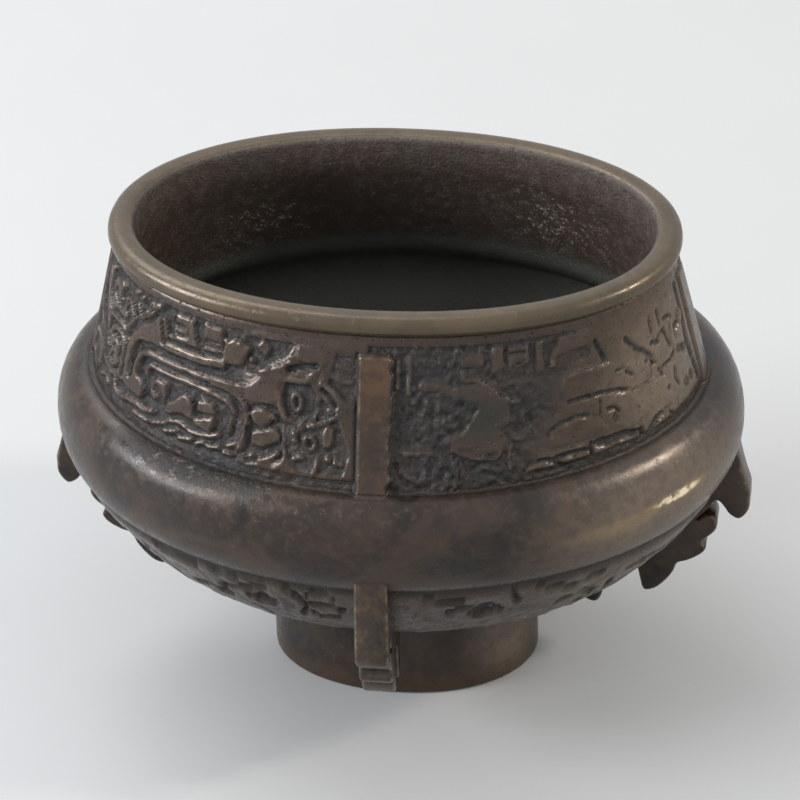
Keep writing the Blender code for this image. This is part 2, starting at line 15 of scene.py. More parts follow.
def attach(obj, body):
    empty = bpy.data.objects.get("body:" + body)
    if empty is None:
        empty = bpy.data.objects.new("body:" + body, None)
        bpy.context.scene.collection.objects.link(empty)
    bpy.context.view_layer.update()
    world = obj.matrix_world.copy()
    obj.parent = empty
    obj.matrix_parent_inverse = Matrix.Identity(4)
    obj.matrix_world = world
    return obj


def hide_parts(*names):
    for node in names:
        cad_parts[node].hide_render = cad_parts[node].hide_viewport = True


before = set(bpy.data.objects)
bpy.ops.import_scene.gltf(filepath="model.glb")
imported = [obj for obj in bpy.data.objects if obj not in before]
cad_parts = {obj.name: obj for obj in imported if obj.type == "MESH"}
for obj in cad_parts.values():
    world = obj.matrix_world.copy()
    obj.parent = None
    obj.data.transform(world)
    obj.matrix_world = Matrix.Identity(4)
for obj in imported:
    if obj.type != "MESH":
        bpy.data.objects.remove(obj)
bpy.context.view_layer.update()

bl_info = {
    "name": "Bronze Censer",
    "version": (1, 0, 0),
    "blender": (4, 5, 0),
    "location": "3D View > Sidebar > Censer",
    "description": "An oval cast bronze censer with carved neck and bowl, and its studio",
    "category": "Add Mesh",
}

# Sizes of the casting that are not settings, in metres. The heights run from the foot upward.
BELLY_BAND = 0.0159
BELLY_SWELL = 0.0050
BELLY_UNDERCUT = 0.0031
BELLY_TOP_ANGLE = math.radians(106.0)
NECK_INSET = BELLY_SWELL * (1.0 - math.cos(BELLY_TOP_ANGLE))
NECK_HEIGHT = 0.0228
LIP_HEIGHT = 0.0030
LIP_OVERHANG = 0.0016
LIP_ROUND = 0.0016
LIP_UNDER_ROUND = 0.0011
LIP_INNER_ROUND = 0.0011
BOWL_HEIGHT = 0.0194
FOOT_WIDTH = 0.0432
FOOT_DEPTH = 0.0318
FOOT_HEIGHT = 0.0191
FOOT_EDGE = 0.0008
FOOT_WALL = 0.0030
INSIDE_FLOOR = 0.0036
INSIDE_FLOOR_DISH = 0.0006
BOWL_TOP = FOOT_HEIGHT + BOWL_HEIGHT
BELLY_TOP = BOWL_TOP + BELLY_BAND
NECK_TOP = BELLY_TOP + NECK_HEIGHT
HEIGHT = NECK_TOP + LIP_HEIGHT

# How square each oval is: 2 is an ellipse, more fills the corners
MOUTH_SQUARENESS = 2.08
BELLY_SQUARENESS = 1.97
FOOT_SQUARENESS = 2.09
BOWL_CURVE = 2.5

# The carving is drawn in units on unrolled panels, each between two ribs or two flanges
PANEL = 63.5
NECK_GRID = 22.0
BOWL_GRID = 20.0
BOWL_BAND_START = 0.40
RIB_TOP = 19.1
RIB_BASE = 6.0
RIB_FACE = 4.3
BORDER = 20.3
RIB_SHIFT = 1.05
# Over how many units the edge of a drawn shape slopes, how much wider its bands are cast than
# drawn, and how far noise shifts them
NECK_SOFTNESS = 0.34
NECK_SWELL = 1.12
NECK_SHIFT = 0.13
BOWL_SOFTNESS = 0.45
BOWL_SWELL = 1.1
BOWL_SHIFT = 0.15
SHIFT_SIZE = 2.6
# Carving levels of the bowl's plain skin and of the neck's plain borders, and the strength of the
# plainer back panels
BOWL_LEVEL = 0.72
TOP_BORDER_LEVEL = 0.45
LOW_BORDER_LEVEL = 0.1
BACK_STRENGTH = 0.85
# Deep pitted spots of the worn panel: middle and reach along and up
PITTED_SPOTS = ((10.0, 9.0, 6.0, 4.5), (26.0, 8.0, 5.0, 3.6))
# Rounds of smoothing, and the height over the smoothed surround that counts as a full edge
SURROUND_PASSES = 5
SURROUND_REACH = 0.00017
# Height at which the pitted inside wall gives way to the smooth floor
INNER_SMOOTH_TOP = 0.0590

# Columns of points: dense over the two front panels, half as many on plain bands
FRONT_COLUMNS = 480
BACK_COLUMNS = 256
NECK_ROWS = 72
BOWL_ROWS = 23
BELLY_ROWS = 14
ARC_SAMPLES = 8001

# Drawn shapes, each painted over those before it. A band or a lens is a level, a width and the
# points that its middle line runs through; a plate is a level and its outline. Level 0 is the sunk
# ground and 1 the top of the raised ribbons.
CRISP_SHAPES = (
    ("plate", 0.0, (43.0, 19.6), (43.6, 14.6), (45.6, 14.4), (47.0, 16.0), (50.6, 18.0), (51.8, 19.8)),
    ("plate", 0.05, (43.0, 10.4), (44.8, 10.2), (49.2, 10.4), (50.2, 8.6), (50.4, 3.4), (44.6, 1.8),
     (43.6, 4.0)),
    ("plate", 0.1, (50.2, 8.6), (51.0, 3.4), (52.8, 2.0), (60.0, 2.2), (60.8, 5.4), (59.2, 9.4),
     (58.4, 11.4), (56.2, 12.6), (55.4, 9.4)),
    ("plate", 0.2, (57.2, 14.4), (60.2, 12.6), (61.6, 13.0), (61.6, 18.6), (58.4, 18.9)),
    ("band", 0.55, 0.8, (3.8, 2.4), (3.4, 8.0), (4.2, 13.0), (3.8, 18.8)),
    ("band", 0.6, 0.8, (8.0, 18.8), (7.6, 16.8), (8.8, 15.2), (10.2, 14.9)),
    ("band", 0.55, 0.7, (5.4, 12.0), (6.6, 10.4), (8.2, 9.9), (9.4, 9.4)),
    ("band", 0.6, 0.8, (5.4, 6.4), (7.4, 7.2), (9.4, 7.0), (10.4, 5.4), (10.3, 3.6)),
    ("band", 0.6, 0.7, (5.2, 3.2), (7.2, 3.4), (9.0, 2.4)),
    ("band", 1.0, 1.1, (9.8, 19.4), (10.0, 17.6), (10.2, 16.0), (10.9, 14.4), (12.0, 13.0),
     (12.7, 11.6), (13.0, 10.2), (13.6, 8.6)),
    ("plate", 0.9, (12.0, 14.6), (11.9, 18.4), (12.6, 19.4), (15.4, 19.2), (15.6, 17.8),
     (18.0, 17.9), (18.0, 14.6)),
    ("band", 0.05, 1.1, (13.2, 17.1), (14.2, 16.3), (15.4, 15.9)),
    ("band", 0.1, 1.4, (15.9, 18.4), (15.9, 16.4)),
    ("band", 0.8, 0.5, (13.7, 17.3), (14.5, 16.9), (15.5, 16.5)),
    ("band", 0.8, 0.6, (14.6, 19.2), (15.2, 18.6)),
    ("band", 0.9, 0.9, (12.4, 13.2), (14.0, 13.45), (16.2, 13.4), (18.0, 12.9), (19.0, 12.2)),
    ("band", 1.0, 0.85, (14.0, 8.8), (13.9, 10.8), (14.7, 11.9), (16.3, 12.1), (17.7, 11.6),
     (18.5, 10.2), (18.4, 8.0), (18.2, 6.0)),
    ("band", 0.95, 1.1, (14.7, 9.4), (15.4, 10.3), (16.5, 9.9)),
    ("band", 0.9, 0.9, (16.2, 9.6), (16.6, 8.4), (16.9, 7.0)),
    ("band", -0.1, 0.75, (14.7, 10.9), (15.8, 11.1), (17.1, 10.4), (17.6, 9.5), (17.3, 8.7),
     (17.6, 7.2)),
    ("band", 0.9, 0.7, (16.3, 8.2), (15.7, 8.7), (14.9, 8.3), (14.5, 7.5), (14.8, 6.7),
     (15.6, 6.4), (16.4, 6.8), (16.4, 7.6), (15.8, 7.8)),
    ("band", 0.6, 0.6, (12.2, 5.7), (14.0, 5.3), (15.6, 5.4)),
    ("band", 0.6, 0.7, (12.0, 2.6), (13.6, 3.4), (14.6, 2.6)),
    ("band", 0.65, 0.8, (15.0, 4.6), (16.0, 5.2), (17.2, 5.0)),
    ("band", 1.0, 1.25, (20.1, 6.0), (19.9, 8.6), (19.9, 10.8), (20.5, 12.6), (21.8, 13.8),
     (24.6, 14.3), (29.0, 14.3), (34.0, 14.4), (39.6, 14.9)),
    ("plate", 0.95, (21.2, 13.8), (21.6, 15.2), (22.8, 16.0), (23.2, 18.0), (24.4, 18.6),
     (26.4, 18.2), (27.2, 16.4), (27.7, 14.4)),
    ("band", 0.05, 0.65, (20.1, 13.8), (19.3, 13.1), (18.5, 12.6)),
    ("band", -0.05, 1.3, (19.4, 19.4), (19.5, 17.6), (20.3, 16.2), (21.3, 15.5)),
    ("band", 0.9, 0.5, (20.4, 18.3), (21.0, 17.2), (21.6, 16.2)),
    ("band", 0.8, 0.5, (22.8, 17.9), (22.4, 17.0), (22.1, 16.4)),
    ("band", 0.0, 0.5, (21.6, 18.4), (21.9, 17.0)),
    ("band", 0.05, 0.65, (25.6, 18.5), (24.6, 17.5), (23.6, 16.7), (22.9, 16.3)),
    ("band", 0.9, 0.75, (18.3, 17.7), (18.8, 16.7), (19.5, 15.9), (19.5, 14.9), (18.6, 14.2)),
    ("band", -0.1, 0.8, (18.5, 15.5), (18.9, 15.5)),
    ("band", 0.0, 0.6, (17.7, 17.4), (17.9, 15.8)),
    ("band", 0.9, 0.7, (20.9, 19.2), (21.6, 19.3)),
    ("band", 0.9, 0.8, (23.8, 19.3), (25.0, 19.3)),
    ("band", 0.9, 0.8, (25.2, 19.7), (26.0, 19.6)),
    ("band", 0.8, 0.7, (19.0, 19.5), (19.6, 19.5)),
    ("band", 0.05, 0.45, (19.0, 11.4), (18.9, 9.0), (19.2, 6.4)),
    ("band", 0.0, 0.45, (13.3, 12.4), (13.2, 10.8), (13.7, 9.2), (14.4, 8.3)),
    ("band", 0.85, 0.7, (17.1, 4.3), (17.6, 3.4), (18.8, 3.05), (20.5, 3.2)),
    ("band", -0.15, 0.9, (18.4, 4.5), (18.9, 4.7)),
    ("band", 0.8, 0.6, (17.8, 5.5), (19.6, 5.8)),
    ("plate", 0.95, (20.0, 6.8), (20.5, 5.0), (24.0, 4.9), (24.7, 5.8), (24.4, 7.3), (23.6, 7.9),
     (22.0, 7.6), (21.0, 7.8)),
    ("band", 0.85, 0.75, (20.6, 3.6), (23.0, 3.7), (25.0, 3.7), (27.0, 4.0)),
    ("band", 0.1, 0.4, (22.2, 4.5), (24.8, 4.5)),
    ("band", 0.8, 0.6, (22.8, 2.3), (26.2, 2.4)),
    ("band", 0.0, 0.8, (21.1, 7.2), (21.0, 9.2), (21.3, 11.2), (22.2, 12.4), (23.8, 13.1),
     (26.0, 13.35), (30.0, 13.35), (36.0, 13.35), (40.6, 13.7)),
    ("band", -0.05, 1.3, (40.4, 13.8), (42.0, 14.5)),
    ("band", 1.0, 0.95, (22.3, 7.6), (22.3, 9.6), (22.9, 11.1), (24.2, 12.0), (26.4, 12.25),
     (32.0, 12.25), (38.0, 12.2), (42.0, 12.2)),
    ("band", 0.05, 0.5, (23.6, 8.0), (23.5, 9.4), (24.1, 10.6), (25.6, 11.2), (28.0, 11.45),
     (34.0, 11.5), (38.0, 11.35), (41.0, 11.0), (42.6, 10.2), (43.4, 9.0), (43.6, 7.4)),
    ("band", 0.9, 0.75, (38.0, 11.75), (40.5, 11.6), (42.2, 11.1), (43.6, 10.2), (44.1, 9.0),
     (44.2, 6.6), (43.8, 4.4)),
    ("band", 0.85, 0.8, (24.7, 9.0), (24.9, 10.0), (25.8, 10.55), (28.0, 10.6), (33.0, 10.6),
     (37.0, 10.5), (39.6, 10.2), (41.4, 9.5), (42.2, 8.4)),
    ("band", -0.2, 0.7, (24.2, 7.9), (24.9, 7.0), (25.1, 5.8), (24.7, 4.8)),
    ("band", -0.2, 0.6, (23.5, 8.1), (23.7, 8.0)),
    ("plate", 0.8, (26.1, 6.0), (26.2, 8.2), (27.2, 9.2), (29.4, 9.2), (29.6, 8.4), (29.4, 6.2)),
    ("band", 0.1, 0.8, (27.2, 7.7), (28.3, 7.1), (28.6, 6.4)),
    ("band", 0.9, 0.5, (26.6, 7.1), (27.2, 6.2)),
    ("band", 0.0, 0.5, (25.8, 8.0), (26.4, 9.2), (28.0, 9.75), (29.6, 9.8), (30.4, 9.6)),
    ("band", -0.1, 0.7, (29.9, 8.8), (29.8, 7.0)),
    ("plate", 0.95, (29.6, 4.9), (30.1, 6.7), (31.4, 7.3), (31.9, 8.0), (33.2, 8.9), (34.5, 8.4),
     (35.0, 7.2), (35.0, 5.7), (33.2, 5.8), (31.6, 5.1)),
    ("plate", 0.95, (35.7, 6.9), (35.8, 8.9), (37.4, 8.8), (38.9, 8.5), (39.2, 7.4), (37.4, 7.2)),
    ("band", 0.9, 0.5, (36.2, 9.5), (37.2, 9.0), (38.6, 8.7)),
    ("plate", 1.0, (35.0, 5.9), (37.0, 6.5), (38.9, 7.0), (39.0, 5.6), (38.3, 4.6), (36.6, 4.7),
     (35.4, 5.2)),
    ("band", -0.05, 0.5, (35.3, 8.9), (35.3, 6.7)),
    ("band", 0.1, 0.3, (35.3, 6.5), (37.0, 6.9), (39.2, 7.3)),
    ("band", 0.0, 0.6, (39.4, 6.6), (39.2, 5.2), (38.2, 4.3), (36.6, 4.35), (35.2, 4.85),
     (33.6, 5.4), (32.2, 5.35), (31.0, 4.8), (29.6, 4.5), (27.6, 4.5)),
    ("band", 0.8, 0.65, (30.2, 3.9), (32.2, 4.35), (33.6, 4.25), (34.8, 3.9), (36.0, 3.8),
     (37.8, 4.0), (39.7, 4.6)),
    ("band", 0.8, 0.55, (27.0, 2.5), (28.4, 2.8), (29.7, 3.3)),
    ("band", 0.8, 0.55, (29.8, 2.3), (31.0, 2.6), (32.1, 3.1)),
    ("band", 0.8, 0.55, (32.6, 2.3), (33.8, 2.5), (34.9, 2.8)),
    ("band", 0.8, 0.55, (35.8, 2.4), (37.0, 2.8), (38.2, 2.6), (40.0, 2.8)),
    ("band", 0.8, 0.55, (40.8, 2.5), (42.1, 2.5)),
    ("band", 0.8, 0.6, (41.5, 5.5), (41.8, 7.1)),
    ("band", 0.8, 0.55, (41.3, 3.6), (42.8, 4.2)),
    ("band", 0.8, 0.55, (43.0, 3.5), (44.0, 4.2)),
    ("band", 0.0, 0.8, (26.8, 17.9), (27.3, 16.4), (27.8, 15.0)),
    ("band", 1.0, 0.6, (27.2, 18.2), (27.7, 17.0), (28.4, 15.4)),
    ("band", 0.0, 0.9, (28.4, 19.6), (28.8, 17.8), (29.4, 16.5)),
    ("band", 0.8, 0.55, (28.9, 16.0), (34.0, 16.15), (39.3, 16.5)),
    ("plate", 0.8, (29.7, 15.9), (29.6, 19.8), (32.4, 19.8), (32.5, 16.0)),
    ("band", 0.1, 0.8, (30.3, 18.1), (31.3, 18.1)),
    ("band", 0.2, 0.4, (30.3, 16.9), (32.1, 17.0)),
    ("plate", 0.95, (32.8, 15.9), (32.4, 19.9), (33.5, 19.9), (34.5, 16.0)),
    ("band", 0.0, 0.7, (33.9, 20.0), (34.2, 18.2), (34.8, 16.8), (35.3, 16.5)),
    ("plate", 0.85, (35.4, 17.0), (35.4, 19.9), (39.0, 19.8), (39.2, 17.2)),
    ("band", 0.2, 0.35, (36.0, 17.5), (38.6, 17.7)),
    ("band", 0.15, 0.4, (35.2, 16.75), (38.8, 16.8)),
    ("band", 0.05, 0.5, (28.6, 15.35), (33.0, 15.45), (37.5, 15.75), (38.8, 16.0)),
    ("plate", 0.85, (39.4, 15.1), (39.6, 17.8), (41.0, 18.9), (42.6, 18.7), (44.4, 18.0),
     (43.4, 16.2), (42.8, 15.2)),
    ("band", 0.9, 0.6, (39.6, 18.2), (39.9, 18.2)),
    ("band", 0.95, 0.6, (42.2, 18.4), (42.5, 18.4)),
    ("band", 0.9, 0.6, (44.5, 16.3), (44.8, 16.3)),
    ("plate", 0.9, (41.0, 11.9), (42.6, 13.0), (44.2, 12.9), (45.8, 14.0), (46.6, 15.2),
     (48.4, 15.9), (50.0, 16.6), (51.3, 17.6), (52.0, 16.8), (50.2, 15.4), (49.6, 14.8),
     (49.2, 13.2), (49.2, 11.4), (48.7, 10.8), (45.0, 10.7), (43.4, 10.9)),
    ("band", 1.1, 0.55, (46.1, 15.0), (47.4, 15.4)),
    ("band", 1.1, 0.55, (48.6, 15.8), (49.8, 16.2), (51.2, 17.2)),
    ("plate", 0.7, (45.1, 18.4), (46.4, 19.6), (47.7, 18.6), (47.0, 17.1)),
    ("band", 0.05, 0.4, (44.4, 9.2), (45.4, 10.1), (47.0, 10.4), (48.7, 10.4)),
    ("plate", 0.85, (44.7, 8.9), (45.6, 9.8), (47.2, 10.0), (48.8, 9.4), (49.2, 8.7), (48.2, 7.7),
     (46.6, 7.4), (45.2, 8.0)),
    ("band", 0.05, 0.4, (44.6, 8.2), (45.6, 7.4), (46.8, 7.15), (48.0, 7.7), (48.7, 8.4)),
    ("plate", 0.9, (45.0, 4.8), (45.2, 6.6), (46.6, 6.9), (48.8, 7.7), (49.8, 6.9), (49.8, 5.8),
     (48.4, 5.2), (47.0, 4.5)),
    ("band", -0.05, 0.7, (44.9, 4.0), (44.7, 6.9)),
    ("band", 0.85, 0.6, (46.8, 2.6), (48.2, 3.1), (49.5, 4.0)),
    ("band", 0.85, 0.6, (49.1, 1.9), (50.4, 2.8)),
    ("band", 0.8, 0.6, (52.2, 3.8), (53.6, 4.2)),
    ("band", 0.8, 0.7, (45.3, 2.9), (45.7, 3.1)),
    ("plate", -0.15, (50.4, 14.2), (49.9, 12.6), (50.1, 11.0), (50.9, 9.4), (52.6, 8.9),
     (55.0, 9.2), (55.7, 11.0), (55.4, 13.0), (54.4, 14.4)),
    ("band", 0.95, 0.55, (49.3, 12.7), (49.5, 11.2), (49.8, 10.2), (50.6, 9.1)),
    ("band", 0.6, 0.55, (52.6, 10.2), (51.7, 10.9), (51.5, 12.0), (52.1, 12.9), (52.9, 12.4),
     (53.0, 11.0), (52.4, 10.3)),
    ("band", 0.9, 0.85, (49.4, 14.65), (51.0, 14.8), (53.4, 14.9), (54.6, 15.4), (55.6, 16.8),
     (56.6, 17.8)),
    ("band", 0.0, 0.8, (50.8, 16.0), (52.6, 16.6), (55.4, 16.9)),
    ("plate", 0.85, (52.0, 17.6), (52.4, 19.4), (56.0, 19.6), (57.4, 18.2), (55.8, 17.4),
     (53.0, 17.4)),
    ("band", 0.9, 0.7, (56.2, 14.7), (57.4, 14.1), (58.4, 13.4), (59.2, 12.5), (60.0, 11.9),
     (61.4, 11.7)),
    ("band", 0.0, 0.5, (56.4, 13.9), (57.6, 12.9), (58.6, 11.8)),
    ("band", 0.8, 0.35, (56.3, 15.3), (56.7, 15.75), (57.1, 15.3), (56.7, 14.9), (56.3, 15.3)),
    ("band", 0.75, 0.5, (54.4, 8.5), (55.8, 8.9), (57.4, 9.4), (58.6, 10.1)),
    ("band", 0.85, 0.45, (55.4, 6.6), (54.9, 7.1), (54.1, 6.9), (53.9, 6.1), (54.4, 5.4),
     (55.2, 5.5), (55.5, 6.1)),
    ("plate", 0.75, (56.7, 6.0), (56.6, 7.6), (57.2, 9.0), (58.3, 8.6), (58.4, 7.0), (57.8, 5.8)),
    ("band", 0.0, 0.45, (58.8, 8.5), (58.5, 6.4)),
    ("band", 0.8, 0.5, (55.4, 2.1), (55.9, 3.8)),
    ("band", 0.8, 0.7, (57.5, 4.2), (57.7, 4.2)),
    ("band", 0.8, 0.7, (58.7, 3.9), (58.9, 3.9)),
    ("band", 0.8, 0.6, (59.6, 3.8), (59.8, 3.8)),
    ("band", 0.8, 0.7, (52.1, 7.3), (52.3, 7.3)),
    ("band", 0.8, 0.7, (52.1, 6.4), (52.3, 6.4)),
    ("band", 0.8, 0.6, (53.2, 8.2), (53.4, 8.2)),
    ("band", 0.7, 0.4, (57.5, 11.0), (57.9, 11.4), (58.3, 11.0), (57.9, 10.6), (57.5, 11.0)),
    ("band", 0.8, 0.6, (59.0, 10.7), (59.2, 10.7)),
    ("band", 0.5, 0.6, (57.6, 15.9), (59.6, 15.1), (61.0, 15.2)),
    ("band", 0.5, 0.6, (58.6, 17.2), (61.0, 16.8)),
)
WORN_SHAPES = (
    ("plate", 0.5, (4.2, 14.4), (4.3, 18.6), (4.9, 18.6), (4.9, 14.4)),
    ("band", 0.0, 0.8, (5.3, 13.8), (5.2, 18.3)),
    ("band", 0.5, 0.6, (6.3, 13.8), (6.4, 18.2)),
    ("band", 0.4, 1.0, (8.6, 14.8), (10.2, 14.8), (11.8, 14.3), (13.4, 14.0), (17.0, 14.1)),
    ("plate", 0.5, (13.0, 13.0), (13.0, 14.4), (18.4, 14.7), (20.5, 12.9), (22.0, 12.6),
     (22.0, 9.0), (20.6, 8.4), (17.6, 8.6), (17.0, 12.2)),
    ("plate", 0.45, (14.4, 17.3), (14.3, 18.5), (18.1, 19.2), (18.1, 17.4)),
    ("band", 0.0, 0.5, (18.5, 19.4), (18.4, 17.0)),
    ("band", 0.6, 0.5, (15.0, 16.4), (15.0, 15.4), (16.4, 15.3), (18.1, 14.8), (19.2, 14.1),
     (20.5, 12.8)),
    ("plate", 0.45, (13.0, 7.5), (14.4, 8.0), (15.6, 8.8), (16.5, 10.0), (17.3, 11.0),
     (20.5, 8.6), (21.4, 6.6), (20.6, 5.4), (17.4, 4.6), (14.6, 5.4), (13.0, 6.0)),
    ("band", 0.55, 0.45, (13.4, 7.5), (14.6, 7.9), (15.6, 8.7), (16.4, 9.9), (17.2, 11.0)),
    ("band", 0.7, 0.4, (14.2, 6.4), (15.9, 6.3)),
    ("band", 0.7, 0.4, (13.2, 5.9), (15.0, 5.1), (17.5, 4.4), (19.8, 4.25), (20.4, 5.2)),
    ("band", 0.4, 0.6, (6.0, 5.7), (10.0, 5.6)),
    ("band", 0.55, 0.4, (13.75, 1.9), (13.85, 3.3)),
    ("band", 0.5, 0.35, (14.7, 2.4), (14.4, 4.0)),
    ("band", 0.4, 0.55, (6.0, 2.8), (7.8, 1.8), (9.4, 0.4)),
    ("band", 0.5, 0.4, (21.8, 5.3), (21.7, 3.6), (22.0, 2.3)),
    ("plate", 0.5, (19.5, 16.4), (19.6, 19.6), (21.3, 19.7), (21.2, 16.6)),
    ("band", 0.0, 0.5, (21.7, 19.5), (21.7, 16.5)),
    ("plate", 0.5, (22.1, 16.5), (22.0, 19.4), (25.6, 19.6), (25.6, 16.8)),
    ("band", 0.1, 0.4, (22.2, 18.5), (24.8, 18.5)),
    ("band", 0.1, 0.3, (22.7, 16.8), (24.7, 17.2)),
    ("band", 0.0, 0.6, (26.1, 19.6), (26.2, 16.8)),
    ("plate", 0.6, (26.7, 15.4), (27.0, 19.6), (28.0, 19.6), (27.9, 15.6)),
    ("band", 0.0, 0.5, (28.4, 18.4), (28.5, 16.2)),
    ("plate", 0.6, (28.8, 15.9), (29.3, 17.6), (30.6, 18.7), (30.8, 19.8), (36.0, 19.8),
     (37.0, 17.8), (37.8, 16.2), (38.2, 15.0), (36.0, 15.2), (33.0, 15.2), (31.0, 15.6)),
    ("band", 0.2, 1.9, (31.0, 16.4), (35.0, 16.6)),
    ("band", -0.1, 0.8, (37.2, 17.6), (37.9, 16.0), (38.4, 14.7)),
    ("band", 0.0, 0.35, (25.0, 14.9), (28.0, 14.8), (29.8, 14.9), (31.6, 14.8)),
    ("plate", 0.65, (31.0, 13.9), (34.0, 14.1), (36.5, 13.8), (39.0, 13.9), (41.8, 12.9),
     (44.0, 12.6), (46.4, 11.6), (47.2, 9.0), (44.5, 8.8), (42.0, 9.4), (39.0, 10.2),
     (34.0, 10.4), (31.0, 10.8), (30.4, 12.2)),
    ("band", 0.8, 0.5, (32.0, 13.8), (34.4, 13.9), (36.8, 13.7), (39.0, 13.8)),
    ("band", 0.2, 0.3, (40.2, 12.5), (41.8, 12.6)),
    ("band", 0.0, 0.5, (31.6, 10.3), (34.0, 10.2), (38.0, 10.0), (40.0, 9.7), (41.8, 9.0)),
    ("band", 0.2, 0.5, (42.2, 11.7), (43.3, 11.1)),
    ("band", 0.45, 0.7, (31.8, 8.6), (34.0, 8.5), (36.2, 8.4)),
    ("band", 0.0, 0.35, (36.8, 9.0), (36.6, 7.0)),
    ("plate", 0.65, (28.0, 4.6), (28.2, 6.0), (29.8, 7.0), (32.0, 7.5), (34.6, 7.3),
     (36.0, 6.0), (38.0, 4.9), (37.0, 4.3), (30.0, 4.4)),
    ("band", -0.1, 0.45, (27.9, 6.3), (29.2, 7.2), (30.6, 7.6), (33.0, 7.8), (34.4, 7.7)),
    ("plate", 0.65, (37.0, 7.0), (38.0, 8.6), (42.0, 8.8), (47.0, 8.4), (50.4, 8.2),
     (50.0, 3.6), (44.0, 3.6), (40.4, 3.9), (38.4, 4.8)),
    ("band", 0.0, 0.4, (37.9, 7.6), (39.2, 7.3), (39.9, 6.5)),
    ("band", 0.1, 0.35, (38.8, 5.3), (38.9, 6.1), (39.4, 6.2), (39.5, 5.6), (39.1, 5.1)),
    ("plate", 0.9, (46.1, 8.8), (46.6, 10.7), (47.1, 10.6), (46.8, 8.9)),
    ("band", 0.0, 0.4, (47.4, 10.5), (47.1, 9.1)),
    ("band", 0.1, 0.6, (46.5, 11.7), (46.7, 11.7)),
    ("plate", 0.5, (39.0, 15.0), (39.4, 18.2), (42.4, 18.0), (43.0, 16.2), (42.0, 14.8)),
    ("plate", 0.5, (44.6, 15.2), (45.0, 18.2), (48.6, 18.0), (48.4, 15.2)),
    ("band", 0.0, 0.8, (43.2, 16.2), (44.2, 14.9), (46.0, 13.6), (47.6, 12.0), (48.2, 10.8)),
    ("band", 0.1, 0.5, (49.0, 17.8), (49.0, 15.4)),
    ("band", 0.55, 0.8, (50.3, 18.0), (50.3, 15.8)),
    ("band", 0.1, 0.4, (51.2, 17.8), (51.2, 15.6)),
    ("band", 0.0, 0.8, (48.6, 13.6), (50.0, 13.4)),
    ("band", 0.1, 0.5, (50.4, 14.2), (52.0, 14.4)),
    ("band", 0.5, 0.9, (48.6, 11.4), (51.6, 12.6)),
    ("band", 0.5, 0.9, (49.0, 10.3), (53.0, 10.3)),
    ("band", 0.0, 0.5, (52.0, 14.0), (52.8, 11.6)),
    ("band", 0.0, 0.6, (50.0, 9.2), (52.4, 9.4), (53.2, 10.0)),
    ("band", 0.0, 0.6, (49.0, 9.4), (49.6, 8.4)),
    ("band", 0.65, 0.9, (54.4, 15.6), (54.3, 14.4), (53.8, 12.8), (54.0, 10.4)),
    ("band", 0.8, 1.2, (55.6, 12.4), (56.6, 13.4), (57.8, 14.4)),
    ("band", 0.1, 0.6, (55.0, 13.1), (56.2, 13.5)),
    ("plate", 0.55, (52.6, 17.0), (53.0, 18.8), (56.2, 18.6), (55.8, 17.0)),
    ("band", 0.0, 0.5, (52.6, 15.8), (54.4, 15.6)),
    ("band", 0.0, 1.0, (54.8, 9.9), (56.6, 9.2)),
    ("band", 0.0, 0.4, (52.8, 7.8), (52.7, 6.2), (53.2, 5.2)),
    ("band", 0.6, 0.6, (49.7, 6.3), (50.0, 6.3)),
    ("band", 0.0, 0.5, (50.3, 5.8), (50.7, 5.8)),
    ("band", 0.1, 0.35, (54.7, 4.3), (55.2, 4.9), (55.7, 4.3), (55.3, 3.6), (54.8, 4.0)),
    ("band", 0.1, 0.35, (56.5, 4.4), (57.0, 4.9), (57.4, 4.3), (57.0, 3.7), (56.6, 4.1)),
    ("band", 0.0, 1.0, (58.5, 18.4), (58.6, 14.0), (58.3, 10.0), (58.6, 6.4), (59.5, 2.4)),
    ("plate", 0.8, (23.4, 0.6), (24.6, 2.6), (26.6, 3.5), (34.2, 4.0), (43.4, 3.4), (46.6, 3.9),
     (48.2, 3.4), (50.6, 2.0), (52.0, 0.6)),
    ("band", 0.05, 0.5, (23.9, 1.8), (25.0, 2.6), (27.0, 2.85), (28.4, 2.4), (29.6, 1.5),
     (30.6, 0.7)),
    ("lens", -0.1, 0.6, (28.3, 2.85), (34.3, 2.75)),
    ("lens", -0.1, 0.75, (30.1, 1.5), (32.6, 1.3), (35.8, 0.9)),
    ("lens", -0.1, 0.6, (34.45, 3.7), (34.7, 0.9)),
    ("lens", -0.2, 1.15, (34.4, 3.2), (39.0, 2.95), (43.4, 2.3)),
    ("lens", -0.15, 0.95, (36.4, 1.6), (39.0, 1.35), (42.8, 0.75)),
    ("lens", -0.1, 0.75, (43.3, 2.9), (43.4, 0.8)),
    ("lens", -0.1, 0.85, (44.2, 1.2), (45.4, 2.1), (46.6, 2.8), (48.0, 3.1)),
    ("band", 0.1, 0.4, (49.4, 2.4), (51.0, 1.0)),
)
